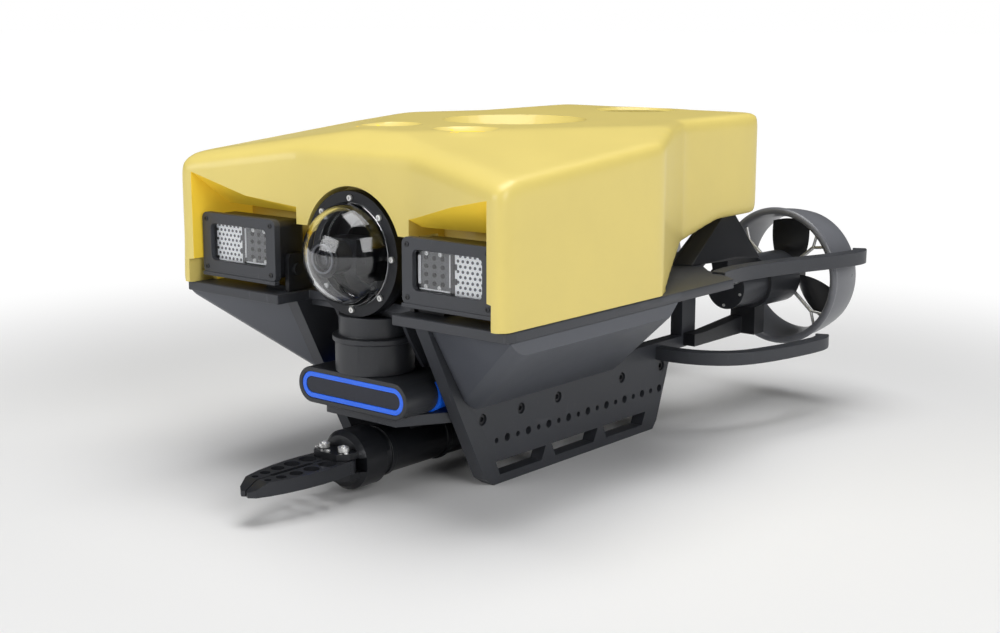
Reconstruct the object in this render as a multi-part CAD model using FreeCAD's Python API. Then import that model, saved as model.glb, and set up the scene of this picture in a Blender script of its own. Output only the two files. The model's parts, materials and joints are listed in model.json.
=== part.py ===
# Underwater inspection vehicle: yellow foam float on a slate-grey twin-skid frame,
# camera dome and two lamps in front, imaging sonar and gripper below, thrusters behind.
# Millimetres. +Z up, the nose looks along -Y, X = 0 is the plane of symmetry.
import FreeCAD, Part
import math
import os

V = FreeCAD.Vector
X, Y, Z = V(1, 0, 0), V(0, 1, 0), V(0, 0, 1)

# ---- Driving sizes ------------------------------------------------------------
SEAT = 0.3                  # running gap between a moving piece and its neighbours

FLOAT_WIDTH = 392.0
FLOAT_LENGTH = 499.0
FLOAT_HEIGHT = 146.0
FLOAT_LIFT = 172.0          # ground to the float's lower edge
TAIL_WIDTH = 260.0
TAPER_START = 218.0
TAPER_END = 348.0
TAIL_CUT_START = 235.0      # where the lower edge starts to rise
TAIL_CUT_END = 421.0
TAIL_CUT_RISE = 42.0
NOSE_FLAT = 70.0            # half width of the flat middle of the nose
TAIL_ROUND = 18.0
CORNER_AHEAD = 6.0          # how far the float's front corners stand ahead of Y = 0
CORNER_ROUND = 9.0
ROOF_ROUND = 3.0
NOSE_SETBACK = 28.0         # how far the middle of the nose stands behind its corners
LIP_HEIGHT = 110.0          # front corners, above the float's lower edge
HOOD_SLOPE = 0.53
SHOULDER_HEIGHT = 118.0
SHOULDER_CROSS = 0.13
SHOULDER_ALONG = 0.0855

DOME_AXIS = 41.0            # above the float's lower edge
DOME_RADIUS = 43.0
DOME_WALL = 3.0
HOUSING_RADIUS = 48.0
HOUSING_WALL = 5.0
HOUSING_LENGTH = 135.0
FLANGE_RADIUS = 55.0
FLANGE_THICK = 9.0
FLANGE_FACE = 27.6          # flange front, behind the float's front corners
DOME_SCREW_PCD = 98.0
DOME_SCREW_COUNT = 8

LAMP_CENTRE = 127.0         # from the middle plane
LAMP_HEIGHT = 37.5          # above the float's lower edge
LAMP_WIDTH = 99.0
LAMP_TALL = 57.0
LAMP_FACE = 9.0             # bezel front, behind the float's front corners
BEZEL_THICK = 7.0
LAMP_DEPTH = 34.0
LAMP_PIVOT_Y = 32.0
LAMP_PIVOT_Z = 20.0

DECK_THICK = 9.0
DECK_END = 352.0
POST_END = 446.0            # rear edge of the skid's rear post
SKID_FACE = 85.0            # outer face of a skid plate, from the middle plane
SKID_THICK = 14.0
SKID_FOOT_START = 112.0
SKID_FOOT_END = 374.0
SKID_BAND = 83.0            # top of the plate's full-length band, above ground
HOLE_COUNT = 18
SLOT_COUNT = 3
FAIRING_DROP = 97.0
FAIRING_RIM = 12.0
FAIRING_ROUND = 20.0
FAIRING_WALL = 4.0
BUMPER_WIDTH = 14.0
UPPER_BUMPER_TALL = 14.5
LOWER_BUMPER_TALL = 13.0
BUMPER_REACH = 202.0        # half width over the bumpers
BUMPER_DROOP = 1.0          # degrees, the upper arms sink towards their tips
LOWER_BUMPER_Z = 72.0       # underside, above ground

NOZZLE_RADIUS = 72.0
NOZZLE_WALL = 8.0
NOZZLE_LENGTH = 54.0
NOZZLE_X = 114.0
NOZZLE_Y = 590.0
NOZZLE_Z = 137.0
NOZZLE_TOE = 4.0            # degrees, thrust line turned outwards at the rear
MOTOR_RADIUS = 28.0
MOTOR_LENGTH = 64.0
CAP_RADIUS = 24.0
CAP_LENGTH = 44.0
BLADE_COUNT = 3
BLADE_GAP = 2.0
HUB_RADIUS = 15.0
SHAFT_RADIUS = 4.0

PORT_MID_Y = 250.0
PORT_MID_RADIUS = 52.0
PORT_REAR_Y = 452.0
PORT_REAR_RADIUS = 40.0
PORT_WALL = 3.0

SONAR_WIDTH = 134.0
SONAR_TALL = 33.0
SONAR_FACE = 24.0
SONAR_DEPTH = 78.0
SONAR_Z = 90.0              # centre, above ground
TRAY_THICK = 10.0
POD_RADIUS = 31.0
POD_Y = 55.0
POD_BASE = 28.0             # height of the pod's can, under its lip

ARM_Z = 31.0                # gripper axis, above ground
ARM_RADIUS = 22.0
COLLAR_RADIUS = 27.0
ARM_FRONT = 42.0
ARM_BACK = 236.0
JAW_LENGTH = 112.0
JAW_THICK = 12.0
JAW_PIVOT_X = 12.0
JAW_PIVOT_Y = 2.0
EAR_THICK = 6.0
PIN_RADIUS = 3.0

F0 = FLOAT_LIFT             # level of the float's lower edge
CAM_Z = F0 + DOME_AXIS
CAM_REAR = FLANGE_FACE + FLANGE_THICK
LIP_THICK = 5.0
HALF = FLOAT_WIDTH / 2
TAIL_HALF = TAIL_WIDTH / 2
DECK_TOP = F0
DECK_LOW = F0 - DECK_THICK


# ---- Small helpers ----------------------------------------------------------------
def face_of(points):
    return Part.Face(Part.makePolygon([V(*p) for p in points + points[:1]]))


def prism_xy(points, z0, z1):
    return face_of([(x, y, z0) for x, y in points]).extrude(V(0, 0, z1 - z0))


def prism_yz(points, x0, x1):
    return face_of([(x0, y, z) for y, z in points]).extrude(V(x1 - x0, 0, 0))


def box(x0, x1, y0, y1, z0, z1):
    return Part.makeBox(x1 - x0, y1 - y0, z1 - z0, V(x0, y0, z0))


def rod(centre, axis, radius, length):
    return Part.makeCylinder(radius, length, V(*centre), axis)


def ring(centre, axis, outer, inner, length):
    return rod(centre, axis, outer, length).cut(rod(centre, axis, inner, length))


def cone(centre, axis, radius0, radius1, length):
    return Part.makeCone(radius0, radius1, length, V(*centre), axis)


def mirrored(shape):
    return shape.mirror(V(0, 0, 0), X)


def fused(shapes):
    return shapes[0].multiFuse(shapes[1:]).removeSplitter()


def turned(shape, base, axis, degrees):
    out = shape.copy()
    out.rotate(base, axis, degrees)
    return out


def rounded(shape, radius, chosen):
    edges = [e for e in shape.Edges if chosen(e)]
    return shape.makeFillet(radius, edges)


def middle(edge):
    return edge.valueAt((edge.FirstParameter + edge.LastParameter) / 2)


def along(edge, direction):
    if edge.Curve.TypeId != "Part::GeomLine":
        return False
    ends = edge.Vertexes[-1].Point - edge.Vertexes[0].Point
    return abs(ends.dot(direction)) > 0.999 * ends.Length


def slab_above(z_at, reach=700.0, rise=300.0):
    corners = [(-reach, -reach), (reach, -reach), (reach, reach), (-reach, reach)]
    return face_of([(x, y, z_at(x, y)) for x, y in corners]).extrude(V(0, 0, rise))


def pill(width, tall, y0, y1, z):
    flat = width / 2 - tall / 2
    body = box(-flat, flat, y0, y1, z - tall / 2, z + tall / 2)
    ends = [rod((side * flat, y0, z), Y, tall / 2, y1 - y0) for side in (-1, 1)]
    return fused([body] + ends)


# ---- Float ------------------------------------------------------------------------
LAMP_BAY_IN = LAMP_CENTRE - LAMP_WIDTH / 2 - 9
LAMP_BAY_OUT = LAMP_CENTRE + LAMP_WIDTH / 2 + 1.5
BAY_DEPTH = 72.0
TUNNEL_END = CAM_REAR + HOUSING_LENGTH + 12
BAY_CEILING = LAMP_HEIGHT + LAMP_TALL / 2 + 3


def float_outline():
    half = [(NOSE_FLAT, NOSE_SETBACK), (HALF, -CORNER_AHEAD), (HALF, TAPER_START), (TAIL_HALF, TAPER_END),
            (TAIL_HALF, FLOAT_LENGTH)]
    return half + [(-x, y) for x, y in reversed(half)]


def lamp_bay(side):
    def section(y, low, z_out, z_in):
        points = [(side * LAMP_BAY_IN, y, low), (side * LAMP_BAY_OUT, y, low),
                  (side * LAMP_BAY_OUT, y, z_out), (side * LAMP_BAY_IN, y, z_in)]
        return Part.makePolygon([V(*p) for p in points + points[:1]])
    low = F0 - 1
    front = section(-CORNER_AHEAD - 5, low, F0 + LIP_HEIGHT - 6, F0 + 80)
    back = section(BAY_DEPTH, low, F0 + BAY_CEILING, F0 + BAY_CEILING)
    return Part.makeLoft([front, back], True, True)


def float_block():
    body = prism_xy(float_outline(), F0, F0 + FLOAT_HEIGHT + 20)
    body = rounded(body, TAIL_ROUND, lambda e: along(e, Z) and middle(e).y > FLOAT_LENGTH - 1)
    body = rounded(body, CORNER_ROUND, lambda e: along(e, Z) and middle(e).y < NOSE_SETBACK
                   and abs(middle(e).x) > TAIL_HALF)
    body = rounded(body, CORNER_ROUND, lambda e: along(e, Z) and TAPER_START - 20 < middle(e).y
                   and middle(e).y < TAPER_END + 5)
    body = body.cut(slab_above(lambda x, y: F0 + LIP_HEIGHT + HOOD_SLOPE * (y + CORNER_AHEAD)))
    for side in (-1, 1):
        body = body.cut(slab_above(lambda x, y: F0 + SHOULDER_HEIGHT + SHOULDER_ALONG * y
                                   + SHOULDER_CROSS * (HALF - side * x)))
    body = body.cut(slab_above(lambda x, y: F0 + FLOAT_HEIGHT))
    body = rounded(body, ROOF_ROUND, lambda e: middle(e).z > F0 + LIP_HEIGHT - 4 and not along(e, Z))
    return body.cut(fused(float_cuts()))


def under_tail(reach):
    tail_end = FLOAT_LENGTH + reach
    return prism_yz([(TAIL_CUT_START, F0), (TAIL_CUT_END, F0 + TAIL_CUT_RISE),
                     (tail_end, F0 + TAIL_CUT_RISE), (tail_end, F0 - reach),
                     (TAIL_CUT_START, F0 - reach)], -HALF - 5, HALF + 5)


def float_cuts():
    tunnel_z = F0 + DOME_AXIS
    arch = rod((0, -5, tunnel_z), Y, FLANGE_RADIUS + 4, CAM_REAR + LIP_THICK + 6)
    tunnel = rod((0, 0, tunnel_z), Y, HOUSING_RADIUS + 2, TUNNEL_END)
    slot = box(-HOUSING_RADIUS - 2, HOUSING_RADIUS + 2, -5, TUNNEL_END, F0 - 1, tunnel_z)
    nose_bay = box(-LAMP_BAY_IN - 1, LAMP_BAY_IN + 1, -5, BAY_DEPTH - 8, F0 - 1, F0 + BAY_CEILING - 8)
    mid_port = rod((0, PORT_MID_Y, F0 - 1), Z, PORT_MID_RADIUS + PORT_WALL, FLOAT_HEIGHT + 5)
    mid_mouth = cone((0, PORT_MID_Y, F0 + FLOAT_HEIGHT - 22), Z, PORT_MID_RADIUS + PORT_WALL,
                     PORT_MID_RADIUS + 24, 30)
    rear_port = rod((0, PORT_REAR_Y, F0 - 1), Z, PORT_REAR_RADIUS + PORT_WALL, FLOAT_HEIGHT + 5)
    rear_mouth = cone((0, PORT_REAR_Y, F0 + FLOAT_HEIGHT - 16), Z, PORT_REAR_RADIUS + PORT_WALL,
                      PORT_REAR_RADIUS + 16, 24)
    wells = [rod((side * 46, 120, F0 + 124), Z, 25, 60) for side in (-1, 1)]
    return [arch, tunnel, slot, nose_bay, under_tail(60), mid_port, mid_mouth, rear_port, rear_mouth,
            lamp_bay(-1), lamp_bay(1)] + wells


def port_liner(y, radius, low, top):
    return ring((0, y, low), Z, radius + PORT_WALL, radius, top - low)


# ---- Frame ------------------------------------------------------------------------
def deck_plate():
    half = [(62, 4), (HALF - 2, 4), (HALF, 14), (HALF, 338), (177, DECK_END),
            (150, 366), (118, 400), (96, POST_END + 2), (60, POST_END + 2), (60, 400)]
    outline = half + [(-x, y) for x, y in reversed(half)]
    plate = prism_xy(outline, DECK_LOW, DECK_TOP)
    notch = box(-62, 62, 0, CAM_REAR + LIP_THICK + 1, DECK_LOW - 1, DECK_TOP + 1)
    trough = rod((0, 0, CAM_Z), Y, HOUSING_RADIUS + 1, TUNNEL_END)
    well = rod((0, PORT_MID_Y, DECK_LOW - 1), Z, PORT_MID_RADIUS + PORT_WALL, DECK_THICK + 2)
    return plate.cut(fused([notch, trough, well]))


def skid_plate():
    band = SKID_BAND + 6
    outline = [(8, DECK_LOW), (SKID_FOOT_START - 6, 8), (SKID_FOOT_START + 6, 0),
               (SKID_FOOT_END - 4, 0), (SKID_FOOT_END + 3, 8), (397, 64), (404, SKID_BAND - 6),
               (POST_END, SKID_BAND - 6), (POST_END, DECK_LOW), (421, DECK_LOW), (421, band), (331, band),
               (384, 126), (398, DECK_LOW)]
    plate = prism_yz(outline, SKID_FACE - SKID_THICK, SKID_FACE)
    return plate.cut(fused(skid_slots() + skid_holes()))


def skid_slots():
    pitch = (SKID_FOOT_END - 8 - (SKID_FOOT_START + 9)) / SLOT_COUNT
    cuts = []
    for index in range(SLOT_COUNT):
        start = SKID_FOOT_START + 9 + index * pitch
        end = start + pitch - 9
        points = [(start, 21), (end, 21), (end - 6, 8), (start + 6, 8)]
        cuts.append(prism_yz(points, SKID_FACE - SKID_THICK - 1, SKID_FACE + 1))
    return cuts


def skid_holes():
    first, last, level = 122.0, 381.0, 41.0
    cuts = []
    for index in range(HOLE_COUNT):
        radius = 2.6 if index % 2 == 0 else 3.8
        y = first + (last - first) * index / (HOLE_COUNT - 1)
        cuts.append(rod((SKID_FACE - SKID_THICK - 1, y, level), X, radius, SKID_THICK + 2))
    for y in SKID_SCREW_Y:
        cuts.append(rod((SKID_FACE - 5, y, SKID_SCREW_Z), X, 5.2, 6))
    return cuts


SKID_SCREW_Y = [103.0, 157.0, 212.0, 315.0, 384.0]
SKID_SCREW_Z = 64.0


def fairing():
    inner, outer = SKID_FACE, HALF - 1
    top, drop = DECK_LOW, F0 - FAIRING_DROP
    rim = FAIRING_RIM / (top - drop)
    nose, foot, heel, tail, back = 12.0, 88.0, 300.0, 398.0, 245.0
    points = {"a": (inner, nose, top), "b": (outer, nose - 4, top), "c": (outer, back, top),
              "d": (inner, tail, top), "e": (inner, foot, drop), "f": (inner, heel, drop),
              "g": (outer, nose - 4 + rim * (foot - nose), top - FAIRING_RIM),
              "h": (outer, back - rim * (tail - heel), top - FAIRING_RIM)}
    faces = ["bcda", "egba", "ghcb", "efhg", "hfdc", "dfea"]
    skin = [face_of([points[k] for k in names]) for names in faces]
    solid = Part.makeSolid(Part.makeShell(skin))
    solid = rounded(solid, FAIRING_ROUND, lambda e: touches(e, points["g"], points["e"]))
    return solid


def touches(edge, first, last):
    ends = [v.Point for v in edge.Vertexes]
    return all(min((p - V(*q)).Length for p in ends) < 0.1 for q in (first, last))


def band_along(points, width, low, tall):
    def offset(sign):
        out = []
        for index, (x, y) in enumerate(points):
            before = points[max(index - 1, 0)]
            after = points[min(index + 1, len(points) - 1)]
            run = V(after[0] - before[0], after[1] - before[1], 0).normalize()
            out.append(V(x - sign * run.y * width, y + sign * run.x * width, low))
        return out
    left, right = offset(0), offset(1)
    curves = []
    for side in (left, right):
        spline = Part.BSplineCurve()
        spline.interpolate(side)
        curves.append(spline.toShape())
    ends = [Part.makeLine(left[0], right[0]), Part.makeLine(left[-1], right[-1])]
    wire = Part.Wire(Part.__sortEdges__(curves + ends))
    return Part.Face(wire).extrude(V(0, 0, tall))


UPPER_BUMPER = [(177, 353), (171, 400), (175, 438), (184, 486), (195, 530), (202, 570), (201, 598),
                (194, 610)]
LOWER_BUMPER = [(80, 374), (112, 374), (139, 383), (162, 401), (178, 432), (189, 474), (194, 506),
                (194, 532), (188, 546)]


def upper_bumper():
    band = band_along(UPPER_BUMPER, BUMPER_WIDTH, DECK_LOW - 3, UPPER_BUMPER_TALL)
    band = turned(band, V(0, DECK_END, DECK_LOW), X, -BUMPER_DROOP)
    return band.cut(deck_plate())


def lower_bumper():
    band = band_along(LOWER_BUMPER, BUMPER_WIDTH, LOWER_BUMPER_Z, LOWER_BUMPER_TALL)
    return band.cut(box(0, SKID_FACE, 300, 500, 0, F0))


# ---- Camera ------------------------------------------------------------------------
RIM_THICK = 2.0
RIM_STEP = 3.0
DOME_GAP = 0.1


def screw_spots(count, pcd, start=0.0):
    step = 2 * math.pi / count
    return [(pcd / 2 * math.sin(start + k * step), pcd / 2 * math.cos(start + k * step))
            for k in range(count)]


def camera_housing():
    tube = ring((0, CAM_REAR, CAM_Z), Y, HOUSING_RADIUS, HOUSING_RADIUS - HOUSING_WALL, HOUSING_LENGTH)
    cap = rod((0, CAM_REAR + HOUSING_LENGTH - 8, CAM_Z), Y, HOUSING_RADIUS - HOUSING_WALL, 8)
    lip = ring((0, CAM_REAR, CAM_Z), Y, FLANGE_RADIUS, HOUSING_RADIUS, LIP_THICK)
    glands = [rod((x, CAM_REAR + HOUSING_LENGTH, CAM_Z + z), Y, 6, 7) for x, z in screw_spots(3, 44)]
    return fused([tube, cap, lip] + glands)


def camera_flange():
    plate = rod((0, FLANGE_FACE, CAM_Z), Y, FLANGE_RADIUS, FLANGE_THICK)
    bore = rod((0, FLANGE_FACE - 1, CAM_Z), Y, DOME_RADIUS + DOME_GAP, FLANGE_THICK + 2)
    rebate = rod((0, CAM_REAR - RIM_THICK, CAM_Z), Y, DOME_RADIUS + RIM_STEP + DOME_GAP, RIM_THICK + 1)
    holes = [rod((x, FLANGE_FACE - 1, CAM_Z + z), Y, DOME_SCREW_RADIUS, FLANGE_THICK + 2)
             for x, z in screw_spots(DOME_SCREW_COUNT, DOME_SCREW_PCD)]
    return plate.cut(fused([bore, rebate])).cut(Part.makeCompound(holes))


DOME_SCREW_RADIUS = 2.0
DOME_SCREW_HEAD = 3.6


def dome_screws():
    screws = []
    for x, z in screw_spots(DOME_SCREW_COUNT, DOME_SCREW_PCD):
        shank = rod((x, FLANGE_FACE, CAM_Z + z), Y, DOME_SCREW_RADIUS, FLANGE_THICK)
        head = rod((x, FLANGE_FACE - 2.2, CAM_Z + z), Y, DOME_SCREW_HEAD, 2.2)
        screws.append(shank.fuse(head))
    return Part.makeCompound(screws)


def camera_dome():
    def shell(radius):
        ball = Part.makeSphere(radius, V(0, FLANGE_FACE, CAM_Z))
        half = ball.common(box(-radius, radius, FLANGE_FACE - radius, FLANGE_FACE,
                               CAM_Z - radius, CAM_Z + radius))
        return half.fuse(rod((0, FLANGE_FACE, CAM_Z), Y, radius, FLANGE_THICK))
    rim = rod((0, CAM_REAR - RIM_THICK, CAM_Z), Y, DOME_RADIUS + RIM_STEP, RIM_THICK)
    return shell(DOME_RADIUS).fuse(rim).removeSplitter().cut(shell(DOME_RADIUS - DOME_WALL))


BLOCK_HALF = 18.0
CRADLE_ARM = 3.5
CRADLE_Y = CAM_REAR + 14


def camera_cradle():
    plate = ring((0, CRADLE_Y, CAM_Z), Y, HOUSING_RADIUS - HOUSING_WALL, 30, 4)
    arm_in = BLOCK_HALF + 0.8
    arms, pins = [], []
    for side in (-1, 1):
        low, high = sorted((side * arm_in, side * (arm_in + CRADLE_ARM)))
        arm = box(low, high, FLANGE_FACE - 6, CRADLE_Y, CAM_Z - 6, CAM_Z + 6)
        foot = box(min(side * arm_in, side * 33), max(side * arm_in, side * 33),
                   CRADLE_Y, CRADLE_Y + 4, CAM_Z - 6, CAM_Z + 6)
        pin = rod((side * (BLOCK_HALF - 5), FLANGE_FACE, CAM_Z), X * side, PIN_RADIUS,
                  5 + 0.8 + CRADLE_ARM)
        arms += [arm, foot]
        pins.append(pin)
    return fused([plate] + arms + pins)


def camera_block():
    body = box(-BLOCK_HALF, BLOCK_HALF, FLANGE_FACE - 12, FLANGE_FACE + 14, CAM_Z - 15, CAM_Z + 15)
    barrel = rod((0, FLANGE_FACE - 29, CAM_Z), Y, 14, 17.5)
    whole = body.fuse(barrel)
    bores = [rod((side * (BLOCK_HALF - 6), FLANGE_FACE, CAM_Z), X * side, PIN_RADIUS + 0.05, 8)
             for side in (-1, 1)]
    pocket = rod((0, FLANGE_FACE - 30, CAM_Z), Y, 10.5, 6)
    return whole.cut(fused(bores)).cut(pocket)


def camera_ring():
    return ring((0, FLANGE_FACE - 32, CAM_Z), Y, 16, 11.5, 3)


def camera_lens():
    disc = rod((0, FLANGE_FACE - 27.5, CAM_Z), Y, 10.5, 3.5)
    ball = Part.makeSphere(26, V(0, FLANGE_FACE - 30.5 + 26, CAM_Z))
    return disc.fuse(ball.common(rod((0, FLANGE_FACE - 32, CAM_Z), Y, 10.4, 6)))


# ---- Lamps -------------------------------------------------------------------------
LAMP_Z = F0 + LAMP_HEIGHT
WINDOW_WIDTH = 75.0
WINDOW_TALL = 34.0
WINDOW_RISE = 1.5
GLASS_THICK = 2.0
PLATE_THICK = 2.0
LAMP_BODY_Y = LAMP_FACE + BEZEL_THICK
PIVOT_Z = F0 + LAMP_PIVOT_Z


def rounded_plate(width, tall, radius, y0, y1, z):
    plate = box(LAMP_CENTRE - width / 2, LAMP_CENTRE + width / 2, y0, y1, z - tall / 2, z + tall / 2)
    return rounded(plate, radius, lambda e: along(e, Y))


def lamp_bezel():
    plate = rounded_plate(LAMP_WIDTH, LAMP_TALL, 6, LAMP_FACE, LAMP_BODY_Y, LAMP_Z)
    window = rounded_plate(WINDOW_WIDTH, WINDOW_TALL, 5, LAMP_FACE - 1, LAMP_BODY_Y + 1,
                           LAMP_Z + WINDOW_RISE)
    rebate = rounded_plate(WINDOW_WIDTH + 6, WINDOW_TALL + 6, 6, LAMP_BODY_Y - GLASS_THICK,
                           LAMP_BODY_Y + 1, LAMP_Z + WINDOW_RISE)
    return plate.cut(window.fuse(rebate))


def lamp_window():
    return rounded_plate(WINDOW_WIDTH + 6, WINDOW_TALL + 6, 6, LAMP_BODY_Y - GLASS_THICK,
                         LAMP_BODY_Y, LAMP_Z + WINDOW_RISE)


def lamp_body():
    body = rounded_plate(LAMP_WIDTH - 5, LAMP_TALL - 5, 6, LAMP_BODY_Y, LAMP_BODY_Y + LAMP_DEPTH, LAMP_Z)
    body = rounded(body, 8, lambda e: middle(e).y > LAMP_BODY_Y + LAMP_DEPTH - 0.1
                   and middle(e).z > LAMP_Z + 1)
    pocket = rounded_plate(WINDOW_WIDTH + 2, WINDOW_TALL + 2, 5, LAMP_BODY_Y - 1,
                           LAMP_BODY_Y + 2 + PLATE_THICK, LAMP_Z + WINDOW_RISE)
    bore = rod((LAMP_CENTRE - LAMP_WIDTH / 2 - 1, LAMP_PIVOT_Y, PIVOT_Z), X, PIN_RADIUS + 0.05, 12.5)
    return body.cut(pocket).cut(bore)


def lamp_plate(outboard):
    split = LAMP_CENTRE - WINDOW_WIDTH * 0.06
    plate = rounded_plate(WINDOW_WIDTH + 2, WINDOW_TALL + 2, 5, LAMP_BODY_Y + 2,
                          LAMP_BODY_Y + 2 + PLATE_THICK, LAMP_Z + WINDOW_RISE)
    low, high = (split + 2, LAMP_CENTRE + WINDOW_WIDTH) if outboard else (0, split)
    return plate.common(box(low, high, 0, 60, F0, F0 + 100))


def lamp_bracket():
    face = LAMP_CENTRE - LAMP_WIDTH / 2 + 2.5 - SEAT - 0.5
    upright = prism_yz([(22, F0), (50, F0), (50, F0 + 14), (42, F0 + 34), (24, F0 + 34), (22, F0 + 30)],
                       face - 5, face)
    foot = box(face - 5, face + 30, 26, 50, F0, F0 + 4)
    pin = rod((face - 3, LAMP_PIVOT_Y, PIVOT_Z), X, PIN_RADIUS, 12)
    head = rod((face - 8, LAMP_PIVOT_Y, PIVOT_Z), X, 5.5, 3)
    return fused([upright, foot, pin, head])


# ---- Sonar and the pod above it ----------------------------------------------------
SONAR_TOP = SONAR_Z + SONAR_TALL / 2
SONAR_LOW = SONAR_Z - SONAR_TALL / 2
TRAY_Z = SONAR_LOW - TRAY_THICK
SHELF_Z = DECK_LOW - 5
RING_WIDTH = SONAR_WIDTH - 9
RING_TALL = SONAR_TALL - 9


def pill_wire(width, tall, y, z):
    flat, half = width / 2 - tall / 2, tall / 2
    top = Part.makeLine(V(-flat, y, z + half), V(flat, y, z + half))
    right = Part.Arc(V(flat, y, z + half), V(flat + half, y, z), V(flat, y, z - half)).toShape()
    low = Part.makeLine(V(flat, y, z - half), V(-flat, y, z - half))
    left = Part.Arc(V(-flat, y, z - half), V(-flat - half, y, z), V(-flat, y, z + half)).toShape()
    return Part.Wire([top, right, low, left])


def pill_loft(stations):
    return Part.makeLoft([pill_wire(w, t, y, SONAR_Z) for w, t, y in stations], True, True)


SONAR_WAIST = SONAR_FACE + 36
SONAR_BACK = SONAR_FACE + SONAR_DEPTH - 14


def sonar_body():
    body = pill_loft([(SONAR_WIDTH, SONAR_TALL, SONAR_FACE), (SONAR_WIDTH, SONAR_TALL, SONAR_WAIST),
                      (SONAR_WIDTH - 14, SONAR_TALL, SONAR_BACK)])
    rear = pill_loft([(SONAR_WIDTH - 14, SONAR_TALL, SONAR_BACK),
                      (SONAR_WIDTH - 26, SONAR_TALL - 6, SONAR_FACE + SONAR_DEPTH)])
    pocket = pill(RING_WIDTH, RING_TALL, SONAR_FACE - 1, SONAR_FACE + 4, SONAR_Z)
    return fused([body, rear]).cut(pocket)


def sonar_ring():
    outer = pill(RING_WIDTH, RING_TALL, SONAR_FACE + 0.8, SONAR_FACE + 4, SONAR_Z)
    return outer.cut(pill(RING_WIDTH - 9, RING_TALL - 9, SONAR_FACE, SONAR_FACE + 5, SONAR_Z))


def sonar_face():
    return pill(RING_WIDTH - 9, RING_TALL - 9, SONAR_FACE + 1.5, SONAR_FACE + 4, SONAR_Z)


def sonar_tray():
    wide = SKID_FACE - SKID_THICK
    half = [(43, 35), (wide, 82), (wide, 130)]
    return prism_xy(half + [(-x, y) for x, y in reversed(half)], TRAY_Z, SONAR_LOW)


def nose_pod():
    base = rod((0, POD_Y, SONAR_TOP), Z, POD_RADIUS, POD_BASE)
    lip = rod((0, POD_Y, SONAR_TOP + POD_BASE), Z, POD_RADIUS + 2, 5)
    neck = rod((0, POD_Y, SONAR_TOP + POD_BASE + 5), Z, POD_RADIUS - 3,
               SHELF_Z - SONAR_TOP - POD_BASE - 5)
    return fused([base, lip, neck])


def cross_members():
    wide = SKID_FACE - SKID_THICK
    shelf = box(-wide, wide, CAM_REAR + LIP_THICK + 4, 92, SHELF_Z, DECK_LOW)
    fins = []
    for side in (-1, 1):
        x0, x1 = sorted((side * 38, side * 42))
        fins.append(prism_yz([(46, SHELF_Z), (90, SHELF_Z), (86, SONAR_TOP + 6), (74, SONAR_TOP + 4),
                              (58, SHELF_Z - 22)], x0, x1))
    shelf = fused([shelf] + fins)
    bars = [box(-wide, wide, y, y + 26, 75, 87) for y in (196, 338)]
    return Part.makeCompound([shelf] + bars)


# ---- Gripper -----------------------------------------------------------------------
SHAFT_BORE = 8.0


def arm_tube():
    tube = rod((0, ARM_FRONT, ARM_Z), Y, ARM_RADIUS, ARM_BACK - ARM_FRONT)
    bands = [rod((0, y, ARM_Z), Y, ARM_RADIUS + 1.5, 6) for y in (ARM_FRONT + 10, 126, 176)]
    bore = rod((0, ARM_FRONT - 1, ARM_Z), Y, SHAFT_BORE + 0.05, 20)
    return fused([tube] + bands).cut(bore)


def arm_clamps():
    top_front, top_rear = TRAY_Z, 75.0
    front = box(-15, 15, 84, 108, ARM_Z, top_front)
    rear = box(-15, 15, 198, 220, ARM_Z, top_rear)
    barrel = rod((0, ARM_FRONT, ARM_Z), Y, ARM_RADIUS, ARM_BACK - ARM_FRONT)
    return Part.makeCompound([front.cut(barrel), rear.cut(barrel)])


def arm_wrist():
    collar = rod((0, 16, ARM_Z), Y, COLLAR_RADIUS, ARM_FRONT - SEAT - 16)
    neck = cone((0, 11, ARM_Z), Y, COLLAR_RADIUS - 4, COLLAR_RADIUS, 5)
    shaft = rod((0, ARM_FRONT - SEAT, ARM_Z), Y, SHAFT_BORE, 16)
    ears = []
    for side in (-1, 1):
        low, high = sorted((ARM_Z + side * (JAW_THICK / 2 + SEAT),
                            ARM_Z + side * (JAW_THICK / 2 + SEAT + EAR_THICK)))
        ears.append(prism_xy([(-21, 14), (21, 14), (21, 0), (14, -9), (-14, -9), (-21, 0)], low, high))
    body = fused([collar, neck, shaft] + ears)
    swing = box(-40, 40, -40, 16, ARM_Z - JAW_THICK / 2 - SEAT, ARM_Z + JAW_THICK / 2 + SEAT)
    body = body.cut(swing)
    holes = [rod((side * JAW_PIVOT_X, JAW_PIVOT_Y, ARM_Z - 30), Z, PIN_RADIUS, 60) for side in (-1, 1)]
    return body.cut(Part.makeCompound(holes))


def jaw():
    inner = 0.6
    back = JAW_PIVOT_X - 10.5
    outline = [(inner, -5), (inner, -JAW_LENGTH + 7), (3, -JAW_LENGTH + 5), (8, -JAW_LENGTH + 10),
               (16, -72), (22, -42), (24, -16), (22.5, 2), (back, 2)]
    blade = prism_xy(outline, ARM_Z - JAW_THICK / 2, ARM_Z + JAW_THICK / 2)
    heel = rod((JAW_PIVOT_X, JAW_PIVOT_Y, ARM_Z - JAW_THICK / 2), Z, 10.5, JAW_THICK)
    cuts = [rod((JAW_PIVOT_X, JAW_PIVOT_Y, 0), Z, PIN_RADIUS + 0.05, 80)]
    for index in range(5):
        cuts.append(rod((11.5 - index * 1.35, -20 - index * 16.5, 0), Z, 5.6 - index * 0.85, 80))
    return blade.fuse(heel).removeSplitter().cut(Part.makeCompound(cuts))


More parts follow.
